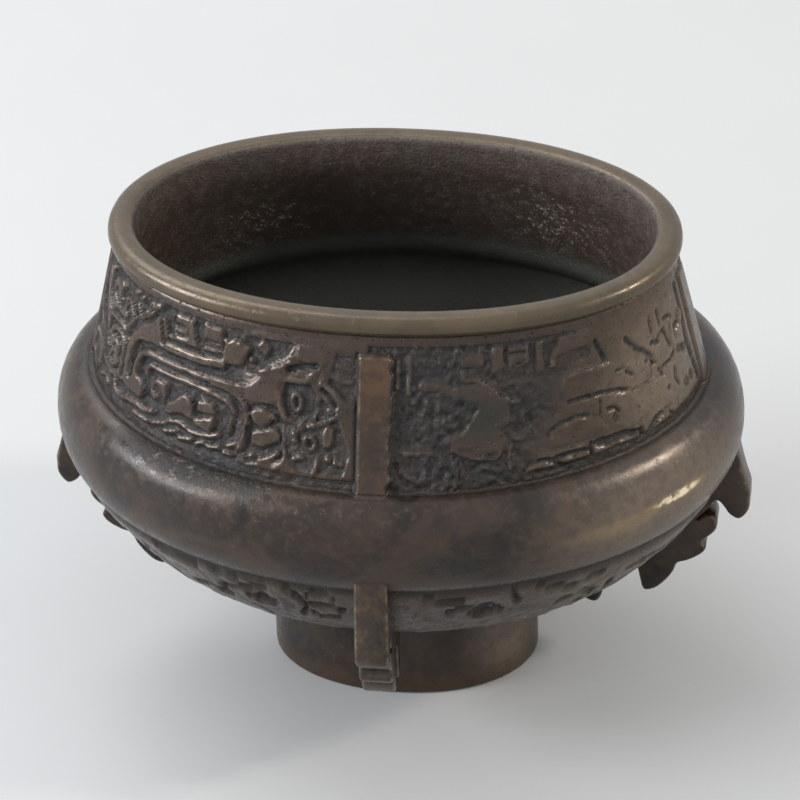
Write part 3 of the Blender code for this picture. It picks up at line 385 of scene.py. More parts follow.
BOWL_SHAPES = (
    ("band", 0.9, 1.1, (47.2, 12.6), (48.6, 16.6), (53.6, 17.2), (56.2, 14.2), (53.8, 11.6),
     (51.0, 13.8)),
    ("band", 0.9, 1.1, (32.0, 14.6), (35.4, 17.0), (39.0, 15.8), (43.6, 17.4)),
    ("band", 0.9, 1.9, (35.0, 9.6), (39.4, 12.6), (43.6, 11.2), (44.4, 7.6)),
    ("band", 0.9, 1.8, (7.4, 16.6), (13.0, 13.4)),
    ("band", 0.9, 1.0, (13.8, 17.4), (17.6, 18.2), (20.6, 15.8), (18.4, 13.4)),
    ("band", 0.9, 1.3, (21.2, 12.0), (25.4, 10.4)),
    ("band", 0.9, 1.1, (24.4, 17.6), (27.6, 16.2), (29.6, 12.8), (28.6, 8.0)),
    ("band", 0.9, 1.1, (7.0, 10.4), (12.4, 7.4), (18.6, 8.8), (22.6, 6.0)),
    ("band", 0.9, 1.2, (49.4, 8.2), (56.4, 6.4)),
    ("band", 0.9, 1.0, (32.0, 5.4), (39.4, 3.6)),
)
BOWL_LEFT_CUTS = (
    ("band", 0.9, 0.8, (31.4, 18.3), (34.0, 17.9), (37.2, 18.2)),
    ("band", -0.1, 0.6, (31.0, 19.2), (34.4, 18.9), (38.0, 19.2)),
    ("band", -0.1, 0.7, (40.2, 14.6), (41.4, 16.2), (43.6, 17.0), (46.0, 17.8), (49.0, 18.8)),
    ("band", -0.1, 0.6, (40.4, 18.8), (42.4, 19.5), (44.4, 19.2)),
    ("plate", 1.0, (43.0, 14.4), (44.0, 16.4), (47.0, 17.4), (50.0, 17.0), (51.0, 15.4),
     (49.6, 13.4), (46.2, 12.0), (43.6, 12.6)),
    ("plate", -0.2, (44.6, 15.6), (47.2, 16.8), (50.0, 16.0), (49.0, 14.6), (46.2, 14.2)),
    ("band", 0.95, 0.9, (50.4, 18.6), (52.4, 17.2), (52.9, 15.4), (51.8, 13.6)),
    ("band", -0.2, 0.6, (51.6, 19.4), (53.6, 17.6), (54.0, 15.2), (52.6, 12.8)),
    ("band", -0.2, 0.6, (54.6, 18.6), (56.4, 19.2), (58.6, 18.6)),
    ("band", 0.9, 0.8, (54.8, 17.5), (57.0, 17.8), (59.6, 17.0)),
    ("band", -0.2, 0.5, (54.8, 16.4), (57.6, 16.4), (59.8, 15.6)),
    ("band", -0.2, 0.6, (54.6, 14.4), (56.2, 13.0), (58.8, 13.6)),
    ("band", 0.9, 0.7, (56.6, 14.8), (58.8, 15.0)),
    ("band", -0.1, 0.7, (17.0, 13.6), (19.4, 14.4), (21.4, 16.6)),
    ("band", -0.1, 0.6, (24.8, 13.8), (26.6, 14.6), (27.0, 17.0)),
    ("band", -0.1, 0.6, (33.6, 13.0), (37.0, 14.4), (41.0, 13.6)),
    ("band", -0.1, 0.6, (8.0, 14.2), (11.0, 11.6), (15.0, 11.2)),
)
BOWL_RIGHT_CUTS = (
    ("band", -0.2, 0.6, (56.0, 19.7), (53.4, 18.7), (50.0, 18.2)),
    ("band", 0.9, 0.8, (54.6, 17.0), (52.0, 17.6), (49.8, 17.2)),
    ("band", -0.2, 0.6, (51.9, 15.4), (50.4, 16.5), (47.6, 16.9), (45.2, 16.1), (43.8, 14.5)),
    ("plate", -0.2, (49.0, 14.5), (48.0, 15.9), (46.0, 16.0), (45.1, 14.8), (46.8, 13.5)),
    ("band", 0.95, 0.9, (51.2, 13.6), (49.4, 12.5), (46.8, 12.2), (44.0, 12.7)),
    ("band", -0.2, 0.6, (43.4, 19.6), (42.8, 18.2), (41.9, 16.7)),
    ("band", -0.2, 0.6, (39.6, 19.0), (36.6, 18.1), (33.4, 17.6), (29.6, 18.5)),
    ("band", 0.9, 0.8, (39.0, 17.0), (35.6, 16.7), (31.4, 17.1)),
    ("band", -0.2, 0.6, (34.6, 13.4), (32.4, 14.3), (29.4, 14.1), (28.0, 12.5), (29.8, 11.0)),
    ("band", -0.2, 0.6, (26.2, 14.8), (25.0, 12.6)),
    ("band", 0.9, 0.8, (24.2, 17.4), (21.0, 18.2), (17.6, 17.6)),
    ("band", -0.2, 0.6, (24.0, 16.2), (20.4, 16.8), (16.4, 16.0)),
    ("band", -0.2, 0.6, (14.0, 11.6), (10.6, 13.0), (7.0, 12.2)),
    ("band", 0.9, 0.8, (12.0, 9.6), (8.6, 10.4), (5.4, 9.2)),
)

# Outline of a hooked flange: shares of its reach inward and of its height above the lowest tip
FLANGE_OUTLINE = (
    (0.100, 1.25), (0.040, 0.955), (0.006, 0.825), (0.004, 0.735), (0.033, 0.670), (0.067, 0.645),
    (0.113, 0.672), (0.145, 0.725), (0.183, 0.765), (0.227, 0.705), (0.290, 0.622), (0.240, 0.658),
    (0.195, 0.650), (0.180, 0.590), (0.200, 0.535), (0.255, 0.475), (0.240, 0.425), (0.270, 0.375),
    (0.340, 0.328), (0.395, 0.305), (0.420, 0.240), (0.465, 0.170), (0.520, 0.115), (0.580, 0.105),
    (0.600, 0.185), (0.620, 0.270), (0.690, 0.350), (0.770, 0.290), (0.795, 0.120), (0.825, 0.015),
    (0.870, 0.000), (0.930, 0.050), (0.985, 0.180), (1.050, 0.330),
)
# Each flange: outward and sideways directions, whether it stands at an end of the long axis, how
# far it stands off the middle, and how far it runs askew over its reach
FLANGE_SIDES = (
    ((1, 0, 0), (0, 1, 0), True, 0.0, 0.0),
    ((-1, 0, 0), (0, -1, 0), True, 0.0, 0.0),
    ((0, 1, 0), (-1, 0, 0), False, 0.0, 0.0),
    ((0, -1, 0), (1, 0, 0), False, 0.0013, 0.0018),
)
# Reach, drop below the belly and height of the flanges at the ends and of those in front and back
END_FLANGE = (0.0296, 0.0275, 0.0275)
FRONT_FLANGE = (0.0240, 0.0280, 0.0243)
FLANGE_STAND_OFF = 0.0014
FLANGE_TIP_INSET = 0.006
FLANGE_BEVEL = 0.0005
# Edges of the flanges that turn by more than this are shaded sharp
FLANGE_SHARP_ANGLE = math.radians(40)
# How far each ring of a flange counts as its worn rim, whose bare metal also stands for a painted glint
RIM_SHARES = (0.0, 1.0, 0.15, 0.15, 1.0, 0.0)

# Noise scales of the finish, per millimetre
BLOTCH_SCALE = 0.075
MOTTLE_SCALE = 0.55
GRAIN_SCALE = 1.9
RUB_SCALE = 0.3
POLISH_SCALE = 0.12
PIT_SCALE = 1.1
CLOUD_SCALE = 0.02

# Soft patches of the finish: middle and reach each way in millimetres, and strength
# Painted light: lighter warm brown on the right of belly, neck, bowl and foot, where light falls from
# the right
RIGHT_LIGHT_SPOTS = (
    ((45.0, -25.0, 46.0), (30.0, 30.0, 14.0), 1.0), ((42.0, -12.0, 64.0), (16.0, 18.0, 15.0), 0.9),
    ((19.0, -10.5, 9.0), (11.0, 9.0, 13.0), 1.0), ((31.0, -24.0, 33.0), (20.0, 16.0, 8.0), 0.6),
)
# Rubbed patch on the belly's right: bare metal, with a painted highlight streak at its heart
RUBBED_HIGHLIGHT_SPOTS = (
    ((46.8, -23.2, 47.1), (9.0, 9.0, 1.4), 1.0), ((39.0, -30.0, 46.2), (17.0, 12.0, 2.2), 0.3),
)
STAIN_SPOTS = (
    ((-24.0, -31.0, 54.6), (26.0, 14.0, 2.7), 1.0), ((13.0, -43.0, 45.0), (9.0, 8.0, 3.6), 1.0),
)
CRUST_SPOTS = (
    ((-24.0, 22.0, 63.0), (11.0, 14.0, 8.0), 1.0), ((22.0, 23.0, 66.0), (13.0, 14.0, 10.0), 1.0),
)
GREEN_SPOTS = (((17.2, -31.5, 65.0), (7.5, 6.0, 5.5), 0.6),)

# Soft boxes: name, place, target, width, height, power and colour
LIGHTS = (
    ("window", (-0.78, -0.30, 0.42), (0, 0, 0.04), 0.42, 0.30, 9.2, (0.94, 0.96, 1.0)),
    ("skylight", (-0.50, 0.42, 0.90), (0, 0, 0.02), 0.75, 0.5, 6.0, (1.0, 1.0, 1.0)),
    ("lamp", (0.76, 0.02, 0.58), (0, 0, 0.04), 0.12, 0.10, 3.8, (1.0, 0.92, 0.80)),
)
WORLD_COLOUR = (0.94, 0.97, 1.0, 1.0)
WORLD_STRENGTH = 1.02
FLOOR_HALF = 1.6
# The photograph's view: angles up, to the right and of roll, distance, focal length and frame
# width in pixels, height of the target and how far it lies to the right
VIEW_UP = 0.5836
VIEW_SIDE = 0.1529
VIEW_ROLL = -0.03294
VIEW_DISTANCE = 0.800
VIEW_FOCAL = 5010.4
VIEW_FRAME = 800.0
VIEW_TARGET_HEIGHT = 0.04661
VIEW_TARGET_RIGHT = 0.00004


def metres(name, description, default):
    """A setting for a size, kept in metres."""
    return bpy.props.FloatProperty(name=name, description=description, default=default, unit="LENGTH")


def tint(name, description, red, green, blue):
    """An opaque colour setting."""
    return bpy.props.FloatVectorProperty(name=name, description=description, subtype="COLOR", size=4,
                                         default=(red, green, blue, 1.0))


class CenserForm(bpy.types.PropertyGroup):
    """Sizes of the casting."""
    belly_width: metres("Belly width", "Across the long way of the belly, without the flanges", 0.1100)
    belly_depth: metres("Belly depth", "Across the short way of the belly, without the flanges", 0.0884)
    mouth_width: metres("Mouth width", "Across the long way of the lip", 0.0902)
    mouth_depth: metres("Mouth depth", "Across the short way of the lip", 0.0590)
    lip_width: metres("Lip width", "Width of the flat top of the lip", 0.0041)
    wall: metres("Wall", "Thickness of the cast wall", 0.0032)
    carving_rise: metres("Carving rise", "How far the ribbons stand off the sunk ground", 0.00090)
    rib_rise: metres("Rib rise", "How far the front and back ribs stand off the neck", 0.0012)
    side_rib_rise: metres("Side rib rise", "How far the left and right ribs stand off the neck", 0.0007)
    flange_thickness: metres("Flange thickness", "Thickness of the hooked flanges", 0.0053)
    ground_roughness: metres("Ground roughness", "How uneven the ground between the ribbons is", 0.00017)


class CenserFinish(bpy.types.PropertyGroup):
    """Colours of the bronze and the floor."""
    dark: tint("Dark patina", "Darkest brown of the patina", 0.011, 0.0090, 0.0080)
    brown: tint("Brown patina", "Warm brown of the smooth parts", 0.042, 0.0262, 0.0180)
    worn: tint("Worn bronze", "Metal laid bare on lip and belly", 0.34, 0.24, 0.12)
    # Painted shade as well as dirt: this near black darkens hollows, sunk ground, the crease under the
    # neck and the foot
    earth_and_shade: tint("Earth", "Near black dirt that fills the hollows", 0.006, 0.0058, 0.0052)
    ribbon: tint("Ribbons", "Red brown of the raised carving", 0.056, 0.033, 0.0215)
    verdigris: tint("Dark green", "Green black patch on the worn front panel", 0.012, 0.016, 0.012)
    rib: tint("Rib", "Golden brown on the face of the front rib", 0.072, 0.038, 0.017)
    inside_floor: tint("Inside floor", "Dull green grey inside the bowl", 0.085, 0.088, 0.076)
    lip: tint("Lip", "Golden brown of the handled lip", 0.054, 0.040, 0.026)
    inside_wall: tint("Inside wall", "Dull brown of the inside wall", 0.064, 0.049, 0.040)
    # Painted light: this lighter warm brown stands for light falling on the right side
    handled_and_lit: tint("Handled", "Lighter warm brown left by hands on the right side", 0.175, 0.132, 0.096)
    # Painted highlight: pale gold streak at the heart of the rubbed patch
    polished_highlight: tint("Polished", "Pale gold at the heart of the rubbed patch", 0.88, 0.76, 0.56)
    # Painted highlight: a silvery glint laid on the proud edges of the carving
    glint: tint("Glint", "Silvery metal on proud edges of the carving", 0.22, 0.195, 0.165)
    crust: tint("Crust", "Pale specks on the inside wall", 0.38, 0.32, 0.23)
    pale_floor: tint("Floor", "Pale floor", 0.405, 0.407, 0.405)


def mix(low, high, share):
    """The value a share of the way from low to high."""
    return low + (high - low) * share


def ease(share):
    """Smooth step: 3 s squared less 2 s cubed, with s held between 0 and 1."""
    share = np.clip(share, 0.0, 1.0)
    return share * share * (3.0 - 2.0 * share)


def oval(half_width, half_depth, squareness, turn):
    """Superellipse: each half size times the signed cosine or sine to the power 2/squareness."""
    power = 2.0 / squareness
    x = half_width * np.sign(np.cos(turn)) * np.abs(np.cos(turn)) ** power
    y = half_depth * np.sign(np.sin(turn)) * np.abs(np.sin(turn)) ** power
    return x, y


def ring_at(form, level):
    """Half width, half depth, height and squareness of the outside at a level.

    From level 0 to 1 the bowl's half sizes grow evenly with the level and its height with the
    level to the power of the bowl curve. From 1 to 2 the belly band runs along a circle arc,
    squashed upright. From 2 to 3 the neck leans in evenly.
    """
    level = np.asarray(level, dtype=float)
    bowl = np.clip(level, 0.0, 1.0)
    belly = np.clip(level - 1.0, 0.0, 1.0)
    neck = np.clip(level - 2.0, 0.0, 1.0)
    low_angle = -math.acos(1.0 - BELLY_UNDERCUT / BELLY_SWELL)
    angle = mix(low_angle, BELLY_TOP_ANGLE, belly)
    rise = BELLY_BAND / (math.sin(BELLY_TOP_ANGLE) - math.sin(low_angle))
    inset = BELLY_SWELL * (1.0 - np.cos(angle))
    belly_z = BOWL_TOP + rise * (np.sin(angle) - math.sin(low_angle))
    sizes = []
    for whole, foot, mouth in ((form.belly_width, FOOT_WIDTH, form.mouth_width),
                               (form.belly_depth, FOOT_DEPTH, form.mouth_depth)):
        half = whole / 2
        bowl_half = mix(foot / 2, half - BELLY_UNDERCUT, bowl)
        neck_half = mix(half - NECK_INSET, mouth / 2 - LIP_OVERHANG, neck)
        sizes.append(np.where(level < 1.0, bowl_half, np.where(level < 2.0, half - inset, neck_half)))
    bowl_z = FOOT_HEIGHT + BOWL_HEIGHT * bowl ** BOWL_CURVE
    neck_z = BELLY_TOP + NECK_HEIGHT * neck
    height = np.where(level < 1.0, bowl_z, np.where(level < 2.0, belly_z, neck_z))
    square = np.where(level < 1.0, mix(FOOT_SQUARENESS, BELLY_SQUARENESS, bowl),
                      mix(BELLY_SQUARENESS, MOUTH_SQUARENESS, neck))
    return sizes[0], sizes[1], height, square


def outside(form, turn, level):
    """Points of the plain outside: the oval of each level at each turn, at the level's height."""
    half_width, half_depth, height, square = ring_at(form, level)
    x, y = oval(half_width, half_depth, square, turn)
    return np.stack([x, y, height + 0.0 * x], axis=-1)


def outside_normal(form, turn, level):
    """Unit normal of the plain outside: the cross product of its slopes around and upward."""
    step = 1e-4
    around = outside(form, turn + step, level) - outside(form, turn - step, level)
    low = np.maximum(level - step, np.floor(level))
    upward = outside(form, turn, np.maximum(level, low + step) + step) - outside(form, turn, low)
    normal = np.cross(around, upward)
    return normal / np.linalg.norm(normal, axis=-1, keepdims=True)


def arc_table(form, level):
    """Arc lengths in panel units and their turns, from the back by the left end to the back."""
    turn = np.linspace(-1.5 * math.pi, 0.5 * math.pi, ARC_SAMPLES)
    line = outside(form, turn, np.full(len(turn), level))
    steps = np.linalg.norm(np.diff(line, axis=0), axis=1)
    length = np.concatenate([[0.0], np.cumsum(steps)])
    return length / length[-1] * 4.0 * PANEL, turn


def column_arcs():
    """Places of the columns round the neck in panel units, dense over the two front panels."""
    half_back = BACK_COLUMNS // 2
    left = np.linspace(0.0, PANEL, half_back, endpoint=False)
    front = np.linspace(PANEL, 3.0 * PANEL, FRONT_COLUMNS, endpoint=False)
    right = np.linspace(3.0 * PANEL, 4.0 * PANEL, half_back, endpoint=False)
    return np.concatenate([left, front, right])


def lattice_noise(points, size, seed):
    """Value noise: random values on a cubic lattice, blended by smooth steps, from -1 to 1."""
    count = 32
    table = np.random.default_rng(seed).random((count, count, count)) * 2.0 - 1.0
    place = points / size + 100.0
    cell = np.floor(place).astype(int)
    share = ease(place - cell)
    total = np.zeros(len(points))
    for corner in range(8):
        step = np.array([corner & 1, corner >> 1 & 1, corner >> 2 & 1])
        weight = np.prod(np.where(step == 1, share, 1.0 - share), axis=-1)
        index = (cell + step) % count
        total += weight * table[index[:, 0], index[:, 1], index[:, 2]]
    return total


def rough_noise(points, size, octaves, seed):
    """Sum of value noises, each half the size and 0.55 the strength of the one before."""
    total = np.zeros(len(points))
    strength = 1.0
    for octave in range(octaves):
        total += strength * lattice_noise(points, size / 2 ** octave, seed + octave)
        strength *= 0.55
    return total


def smooth_line(points, steps):
    """Points on a Catmull-Rom curve through the given ones, with steps to each span."""
    knots = np.array(points, dtype=float)
    if len(knots) < 3:
        return knots
    padded = np.concatenate([knots[:1], knots, knots[-1:]])
    share = (np.arange(steps) / steps)[None, :, None]
    before, start, end, after = (padded[index:index + len(knots) - 1, None] for index in range(4))
    curve = (2 * start + (end - before) * share
             + (2 * before - 5 * start + 4 * end - after) * share ** 2
             + (3 * start - before - 3 * end + after) * share ** 3) / 2
    return np.concatenate([curve.reshape(-1, 2), knots[-1:]])


def line_distance(x, y, line):
    """Distance from each place to a line of points, and the share of its length reached there."""
    best = np.full(x.shape, np.inf)
    reached = np.zeros(x.shape)
    lengths = np.linalg.norm(np.diff(line, axis=0), axis=1)
    run = np.concatenate([[0.0], np.cumsum(lengths)])
    for start, end, length, gone in zip(line, line[1:], lengths, run):
        along = (end - start) / max(length, 1e-9)
        reach = np.clip((x - start[0]) * along[0] + (y - start[1]) * along[1], 0.0, length)
        distance = np.hypot(x - start[0] - along[0] * reach, y - start[1] - along[1] * reach)
        nearer = distance < best
        best = np.where(nearer, distance, best)
        reached = np.where(nearer, (gone + reach) / run[-1], reached)
    return best, reached


def inside_outline(x, y, outline):
    """Whether each place lies in a closed outline, by counting the sides a level ray crosses."""
    within = np.zeros(x.shape, dtype=bool)
    for (x0, y0), (x1, y1) in zip(outline, np.roll(outline, -1, axis=0)):
        crosses = (y0 > y) != (y1 > y)
        rise = y1 - y0 if y1 != y0 else 1.0
        within ^= crosses & (x < x0 + (x1 - x0) * (y - y0) / rise)
    return within


def painted(x, y, shapes, softness, strength=1.0, start=0.0, swell=1.0):
    """Carving levels at places of a panel: each shape's level is mixed in over what lies there.

    The share is a smooth step of the distance inside the shape's edge over the softness. A lens
    is a band whose width shrinks to nothing at its ends as a half circle does.
    """
    level = np.zeros(x.shape) + start
    for kind, rise, *rest in shapes:
        width, points = (rest[0], rest[1:]) if kind in ("band", "lens") else (0.0, rest)
        spots = np.array(points)
        margin = width + 1.0
        near = ((x > spots[:, 0].min() - margin) & (x < spots[:, 0].max() + margin)
                & (y > spots[:, 1].min() - margin) & (y < spots[:, 1].max() + margin))
        if not near.any():
            continue
        nx, ny = x[near], y[near]
        if kind == "plate":
            closed = np.concatenate([spots, spots[:1]])
            distance, _ = line_distance(nx, ny, closed)
            depth = np.where(inside_outline(nx, ny, spots), distance, -distance)
        else:
            distance, reached = line_distance(nx, ny, smooth_line(points, 5))
            half = width / 2 * swell
            if kind == "lens":
                half = half * np.sqrt(np.clip(4.0 * reached * (1.0 - reached), 0.0, 1.0))
            depth = half - distance
        share = ease(depth / softness + 0.5)
        level[near] = mix(level[near], rise * strength, share)
    return level


def rib_height(x, y, centre, rise):
    """Height of a rib on the neck: flat across its face, sloping to its base, with a round top."""
    half_base = RIB_BASE / 2
    half_face = RIB_FACE / 2
    side = ease((half_base - np.abs(x - centre)) / (half_base - half_face))
    top = ease((RIB_TOP - y) / 0.8 + 0.5)
    return rise * side * top


def crisp_start(place, y):
    """Level before the first shape of a crisp panel: sunk, rising to a plain right third."""
    return 0.62 * ease((place - 42.0) / 3.0)


def worn_start(place, y):
    """Level before the first shape of the worn panel: near sunk, rising slantwise to the right."""
    return 0.38 * ease((place - 24.0 - 0.5 * (y - 8.0)) / 8.0) + 0.06


def bowl_start(place, y):
    """Level before the first shape of the bowl: the plain skin, the same all over."""
    return BOWL_LEVEL


# For each panel in turn: whether it is mirrored, its shapes, their strength and its first level
NECK_PANELS = (
    (True, CRISP_SHAPES, BACK_STRENGTH, crisp_start), (False, CRISP_SHAPES, 1.0, crisp_start),
    (False, WORN_SHAPES, 1.0, worn_start), (False, CRISP_SHAPES, BACK_STRENGTH, crisp_start),
)
BOWL_PANELS = (
    (True, BOWL_SHAPES + BOWL_LEFT_CUTS, 1.0, bowl_start),
    (False, BOWL_SHAPES + BOWL_LEFT_CUTS, 1.0, bowl_start),
    (True, BOWL_SHAPES + BOWL_RIGHT_CUTS, 1.0, bowl_start),
    (False, BOWL_SHAPES + BOWL_RIGHT_CUTS, 1.0, bowl_start),
)


def drawn_levels(x, y, place_mm, panels, shift, seed, softness, swell):
    """Panel number, place in the panel and carving level: each panel's shapes, shifted by noise."""
    panel = np.floor(x / PANEL).astype(int) % 4
    own = x - panel * PANEL
    shift_x = shift * rough_noise(place_mm, SHIFT_SIZE, 2, seed)
    shift_y = shift * rough_noise(place_mm, SHIFT_SIZE, 2, seed + 1)
    level = np.zeros(x.shape)
    for index, (mirrored, shapes, strength, start) in enumerate(panels):
        here = panel == index
        place = PANEL - own[here] if mirrored else own[here]
        level[here] = painted(place + shift_x[here], y[here] + shift_y[here], shapes, softness,
                              strength, start(place, y[here]), swell)
    return panel, own, level


def neck_height(form, x, y, points):
    """Height of the neck over its plain ground: painted panels, plain borders, ribs and noise.

    The ground noise is strongest in the sunk ground and rises again left on the worn panel, whose
    pits are cut where a coarser noise passes a mark, deepest near two spots.
    """
    wobble = points * 1000.0
    panel, own, level = drawn_levels(x, y, wobble, NECK_PANELS, NECK_SHIFT, seed=11,
                                     softness=NECK_SOFTNESS, swell=NECK_SWELL)
    level = mix(level, TOP_BORDER_LEVEL, ease((y - BORDER) / 0.5 + 0.5))
    level = mix(level, LOW_BORDER_LEVEL, ease((1.6 - y) / 0.7 + 0.5))
    sunk = 1.0 - ease(level / 0.45)
    height = form.carving_rise * level
    rotten = (panel == 2) * ease((34.0 - own - 0.4 * y) / 8.0) * ease((own - 3.4) / 1.0)
    rough_share = (0.15 + 0.85 * sunk) * (1.0 + 0.9 * rotten)
    height += form.ground_roughness * rough_noise(wobble, size=0.9, octaves=3, seed=21) * rough_share
    worn = (panel == 2) & (own > 3.0)
    pits = ease((rough_noise(wobble, size=1.6, octaves=3, seed=31) - 0.35) / 0.5)
    pocked = np.max([ease(1.2 - np.hypot((own - along) / reach, (y - up) / rise))
                     for along, up, reach, rise in PITTED_SPOTS], axis=0)
    height -= worn * pits * (0.00006 + 0.0003 * pocked)
    height *= np.clip(y / 0.4, 0.0, 1.0) * np.clip((NECK_GRID - y) / 0.5, 0.0, 1.0)
    jag = 0.34 * rough_noise(np.stack([0 * y, 0 * y, y], axis=-1), size=2.0, octaves=3, seed=41)
    centres = ((0.0, form.rib_rise, 0.0), (PANEL, form.side_rib_rise, 0.0),
               (2.0 * PANEL + RIB_SHIFT, form.rib_rise, 1.0), (3.0 * PANEL, form.side_rib_rise, 0.0),
               (4.0 * PANEL, form.rib_rise, 0.0))
    for centre, rise, uneven in centres:
        middle = centre + uneven * np.where(x > centre, jag, 0.0)
        rib = rib_height(x, y, middle, rise)
        cover = ease((RIB_BASE / 2 + 0.5 - np.abs(x - middle)) / 0.5) * ease((RIB_TOP + 0.4 - y) / 0.4)
        height = np.where(rib > 0.0, np.maximum(height * (1.0 - cover), rib), height)
        level = np.maximum(level, np.where(rib > 0.0, cover, 0.0))
    return height, level


def bowl_height(form, x, y, points):
    """Height of the carved bowl over its plain ground: painted panels and noise."""
    wobble = points * 1000.0
    level = drawn_levels(x, y, wobble, BOWL_PANELS, BOWL_SHIFT, seed=51, softness=BOWL_SOFTNESS,
                         swell=BOWL_SWELL)[2]
    sunk = 1.0 - ease(level / 0.6)
    height = form.carving_rise * level
    rough_share = 0.16 + 0.6 * sunk
    height += form.ground_roughness * rough_noise(wobble, size=1.2, octaves=3, seed=61) * rough_share
    height *= np.clip(y / 0.6, 0.0, 1.0) * np.clip((BOWL_GRID - y) / 0.5, 0.0, 1.0)
    return height, level


def blurred(values, passes):
    """A ringed grid of values smoothed by repeated quarter, half, quarter sums both ways."""
    for _ in range(passes):
        values = 0.5 * values + 0.25 * (np.roll(values, 1, axis=1) + np.roll(values, -1, axis=1))
        padded = np.concatenate([values[:1], values, values[-1:]])
        values = 0.25 * padded[:-2] + 0.5 * values + 0.25 * padded[2:]
    return values


class Skin:
    """A growing closed skin: rows of points with values, joined row to row into faces."""

    def __init__(self):
        self.points = []
        self.values = []
        self.faces = []
        self.count = 0
        self.last = None

    def add_rows(self, rows, **values):
        """Add rows of points, shaped rows by columns by 3, and their values, shaped rows by columns."""
        for index, row in enumerate(rows):
            marks = {name: np.broadcast_to(np.asarray(value, dtype=float),
                                           rows.shape[:2])[index] for name, value in values.items()}
            self.add_ring(row, marks)

    def add_ring(self, ring, marks):
        """Add one ring and join it to the one before, halving or doubling columns where needed."""
        size = len(ring)
        first = self.count
        self.points.append(ring)
        self.values.append(marks)
        self.count += size
        if self.last is not None:
            start, before = self.last
            place = np.arange(max(size, before))
            if size == before:
                after = (place + 1) % size
                self.faces.append(np.stack([start + place, start + after, first + after,
                                            first + place], axis=-1))
            elif before == 1:
                after = (place + 1) % size
                self.faces.append(np.stack([start + 0 * place, first + after, first + place], axis=-1))
            elif size == 1:
                after = (place + 1) % before
                self.faces.append(np.stack([start + place, start + after, first + 0 * place], axis=-1))
            else:
                few = min(size, before)
                coarse = np.arange(few)
                after = (coarse + 1) % few
                fine, wide = (start, first) if before > size else (first, start)
                a, b, c = fine + 2 * coarse, fine + 2 * coarse + 1, fine + (2 * coarse + 2) % (2 * few)
                d, e = wide + coarse, wide + after
                trio = [np.stack([a, b, d], axis=-1), np.stack([b, e, d], axis=-1),
                        np.stack([b, c, e], axis=-1)]
                if before < size:
                    trio = [faces[:, ::-1] for faces in trio]
                self.faces.extend(trio)
        self.last = (first, size)

    def mesh(self, name):
        """The finished mesh with a point attribute for each kind of value."""
        points = np.concatenate(self.points)
        loops = np.concatenate([faces.reshape(-1) for faces in self.faces])
        totals = np.concatenate([np.full(len(faces), faces.shape[1]) for faces in self.faces])
        data = bpy.data.meshes.new(name)
        data.vertices.add(len(points))
        data.vertices.foreach_set("co", points.astype(np.float32).ravel())
        data.loops.add(len(loops))
        data.loops.foreach_set("vertex_index", loops.astype(np.int32))
        data.polygons.add(len(totals))
        starts = np.concatenate([[0], np.cumsum(totals)[:-1]])
        data.polygons.foreach_set("loop_start", starts.astype(np.int32))
        data.polygons.foreach_set("loop_total", totals.astype(np.int32))
        for kind in sorted({kind for marks in self.values for kind in marks}):
            layer = data.attributes.new(kind, "FLOAT", "POINT")
            column = [marks.get(kind, np.zeros(len(ring))) for ring, marks in
                      zip(self.points, self.values)]
            layer.data.foreach_set("value", np.concatenate(column).astype(np.float32))
        data.update(calc_edges=True)
        data.validate()
        return data


def flat_rows(steps, squareness, turns):
    """Rings of plain ovals: half width, half depth and height of each, shaped rows by columns by 3."""
    rows = []
    for half_width, half_depth, height in steps:
        x, y = oval(half_width, half_depth, squareness, turns)
        rows.append(np.stack([x, y, np.full(len(turns), height)], axis=-1))
    return np.array(rows)


def quarter(centre_out, centre_up, radius, start, end, steps):
    """Steps out and up round part of a circle, by cosine and sine of degrees."""
    return [(centre_out + radius * math.cos(math.radians(angle)),
             centre_up + radius * math.sin(math.radians(angle)))
            for angle in np.linspace(start, end, steps)]


def carved_rows(form, turns, low, high, rows, grid, shape, arcs):
    """Rows of a carved band: the plain outside moved along its normal by the carving's height."""
    share = np.linspace(0.0, 1.0, rows + 1)
    level = mix(low + 1e-5, high - 1e-5, share)[:, None] + 0.0 * turns[None, :]
    turn = turns[None, :] + 0.0 * level
    base = outside(form, turn, level)
    normal = outside_normal(form, turn, level)
    x = arcs[None, :] + 0.0 * level
    y = share[:, None] * grid + 0.0 * level
    height, drawn = shape(form, x.ravel(), y.ravel(), base.reshape(-1, 3))
    height = height.reshape(level.shape)
    return base + normal * height[..., None], height, drawn.reshape(level.shape)


def cavity_marks(height):
    """Shares of hollow and of edge: how far a height lies under or over its smoothed surround. The
    hollow share is darkened as dirt and painted shade.
    """
    over = (height - blurred(height, SURROUND_PASSES)) / SURROUND_REACH
    return np.clip(-over, 0.0, 1.0), np.clip(over, 0.0, 1.0)


def inner_rings(form):
    """Half sizes, height and squareness of the inside, from the lip down to the floor."""
    rings = []
    half_width = form.mouth_width / 2 - form.lip_width
    half_depth = form.mouth_depth / 2 - form.lip_width
    for out, up in quarter(LIP_INNER_ROUND, -LIP_INNER_ROUND, LIP_INNER_ROUND, 100.0, 180.0, 5):
        rings.append((half_width + out, half_depth + out, HEIGHT + up, MOUTH_SQUARENESS))
    floor = FOOT_HEIGHT + INSIDE_FLOOR
    step = 1e-3
    levels = np.concatenate([np.linspace(2.95, 2.12, 9), [2.06, 2.0, 1.9], np.linspace(1.8, 1.05, 9),
                             np.linspace(1.0, 0.30, 12)])
    for level in levels:
        width, depth, height, square = ring_at(form, level)
        before = ring_at(form, level - step)
        after = ring_at(form, level + step)
        out = float(after[0] + after[1] - before[0] - before[1]) / 2
        rise = float(after[2] - before[2])
        size = math.hypot(out, rise)
        inset = form.wall * rise / size
        height = max(float(height) + form.wall * out / size, floor + INSIDE_FLOOR_DISH * level)
        rings.append((float(width) - inset, float(depth) - inset, height, float(square)))
    return rings


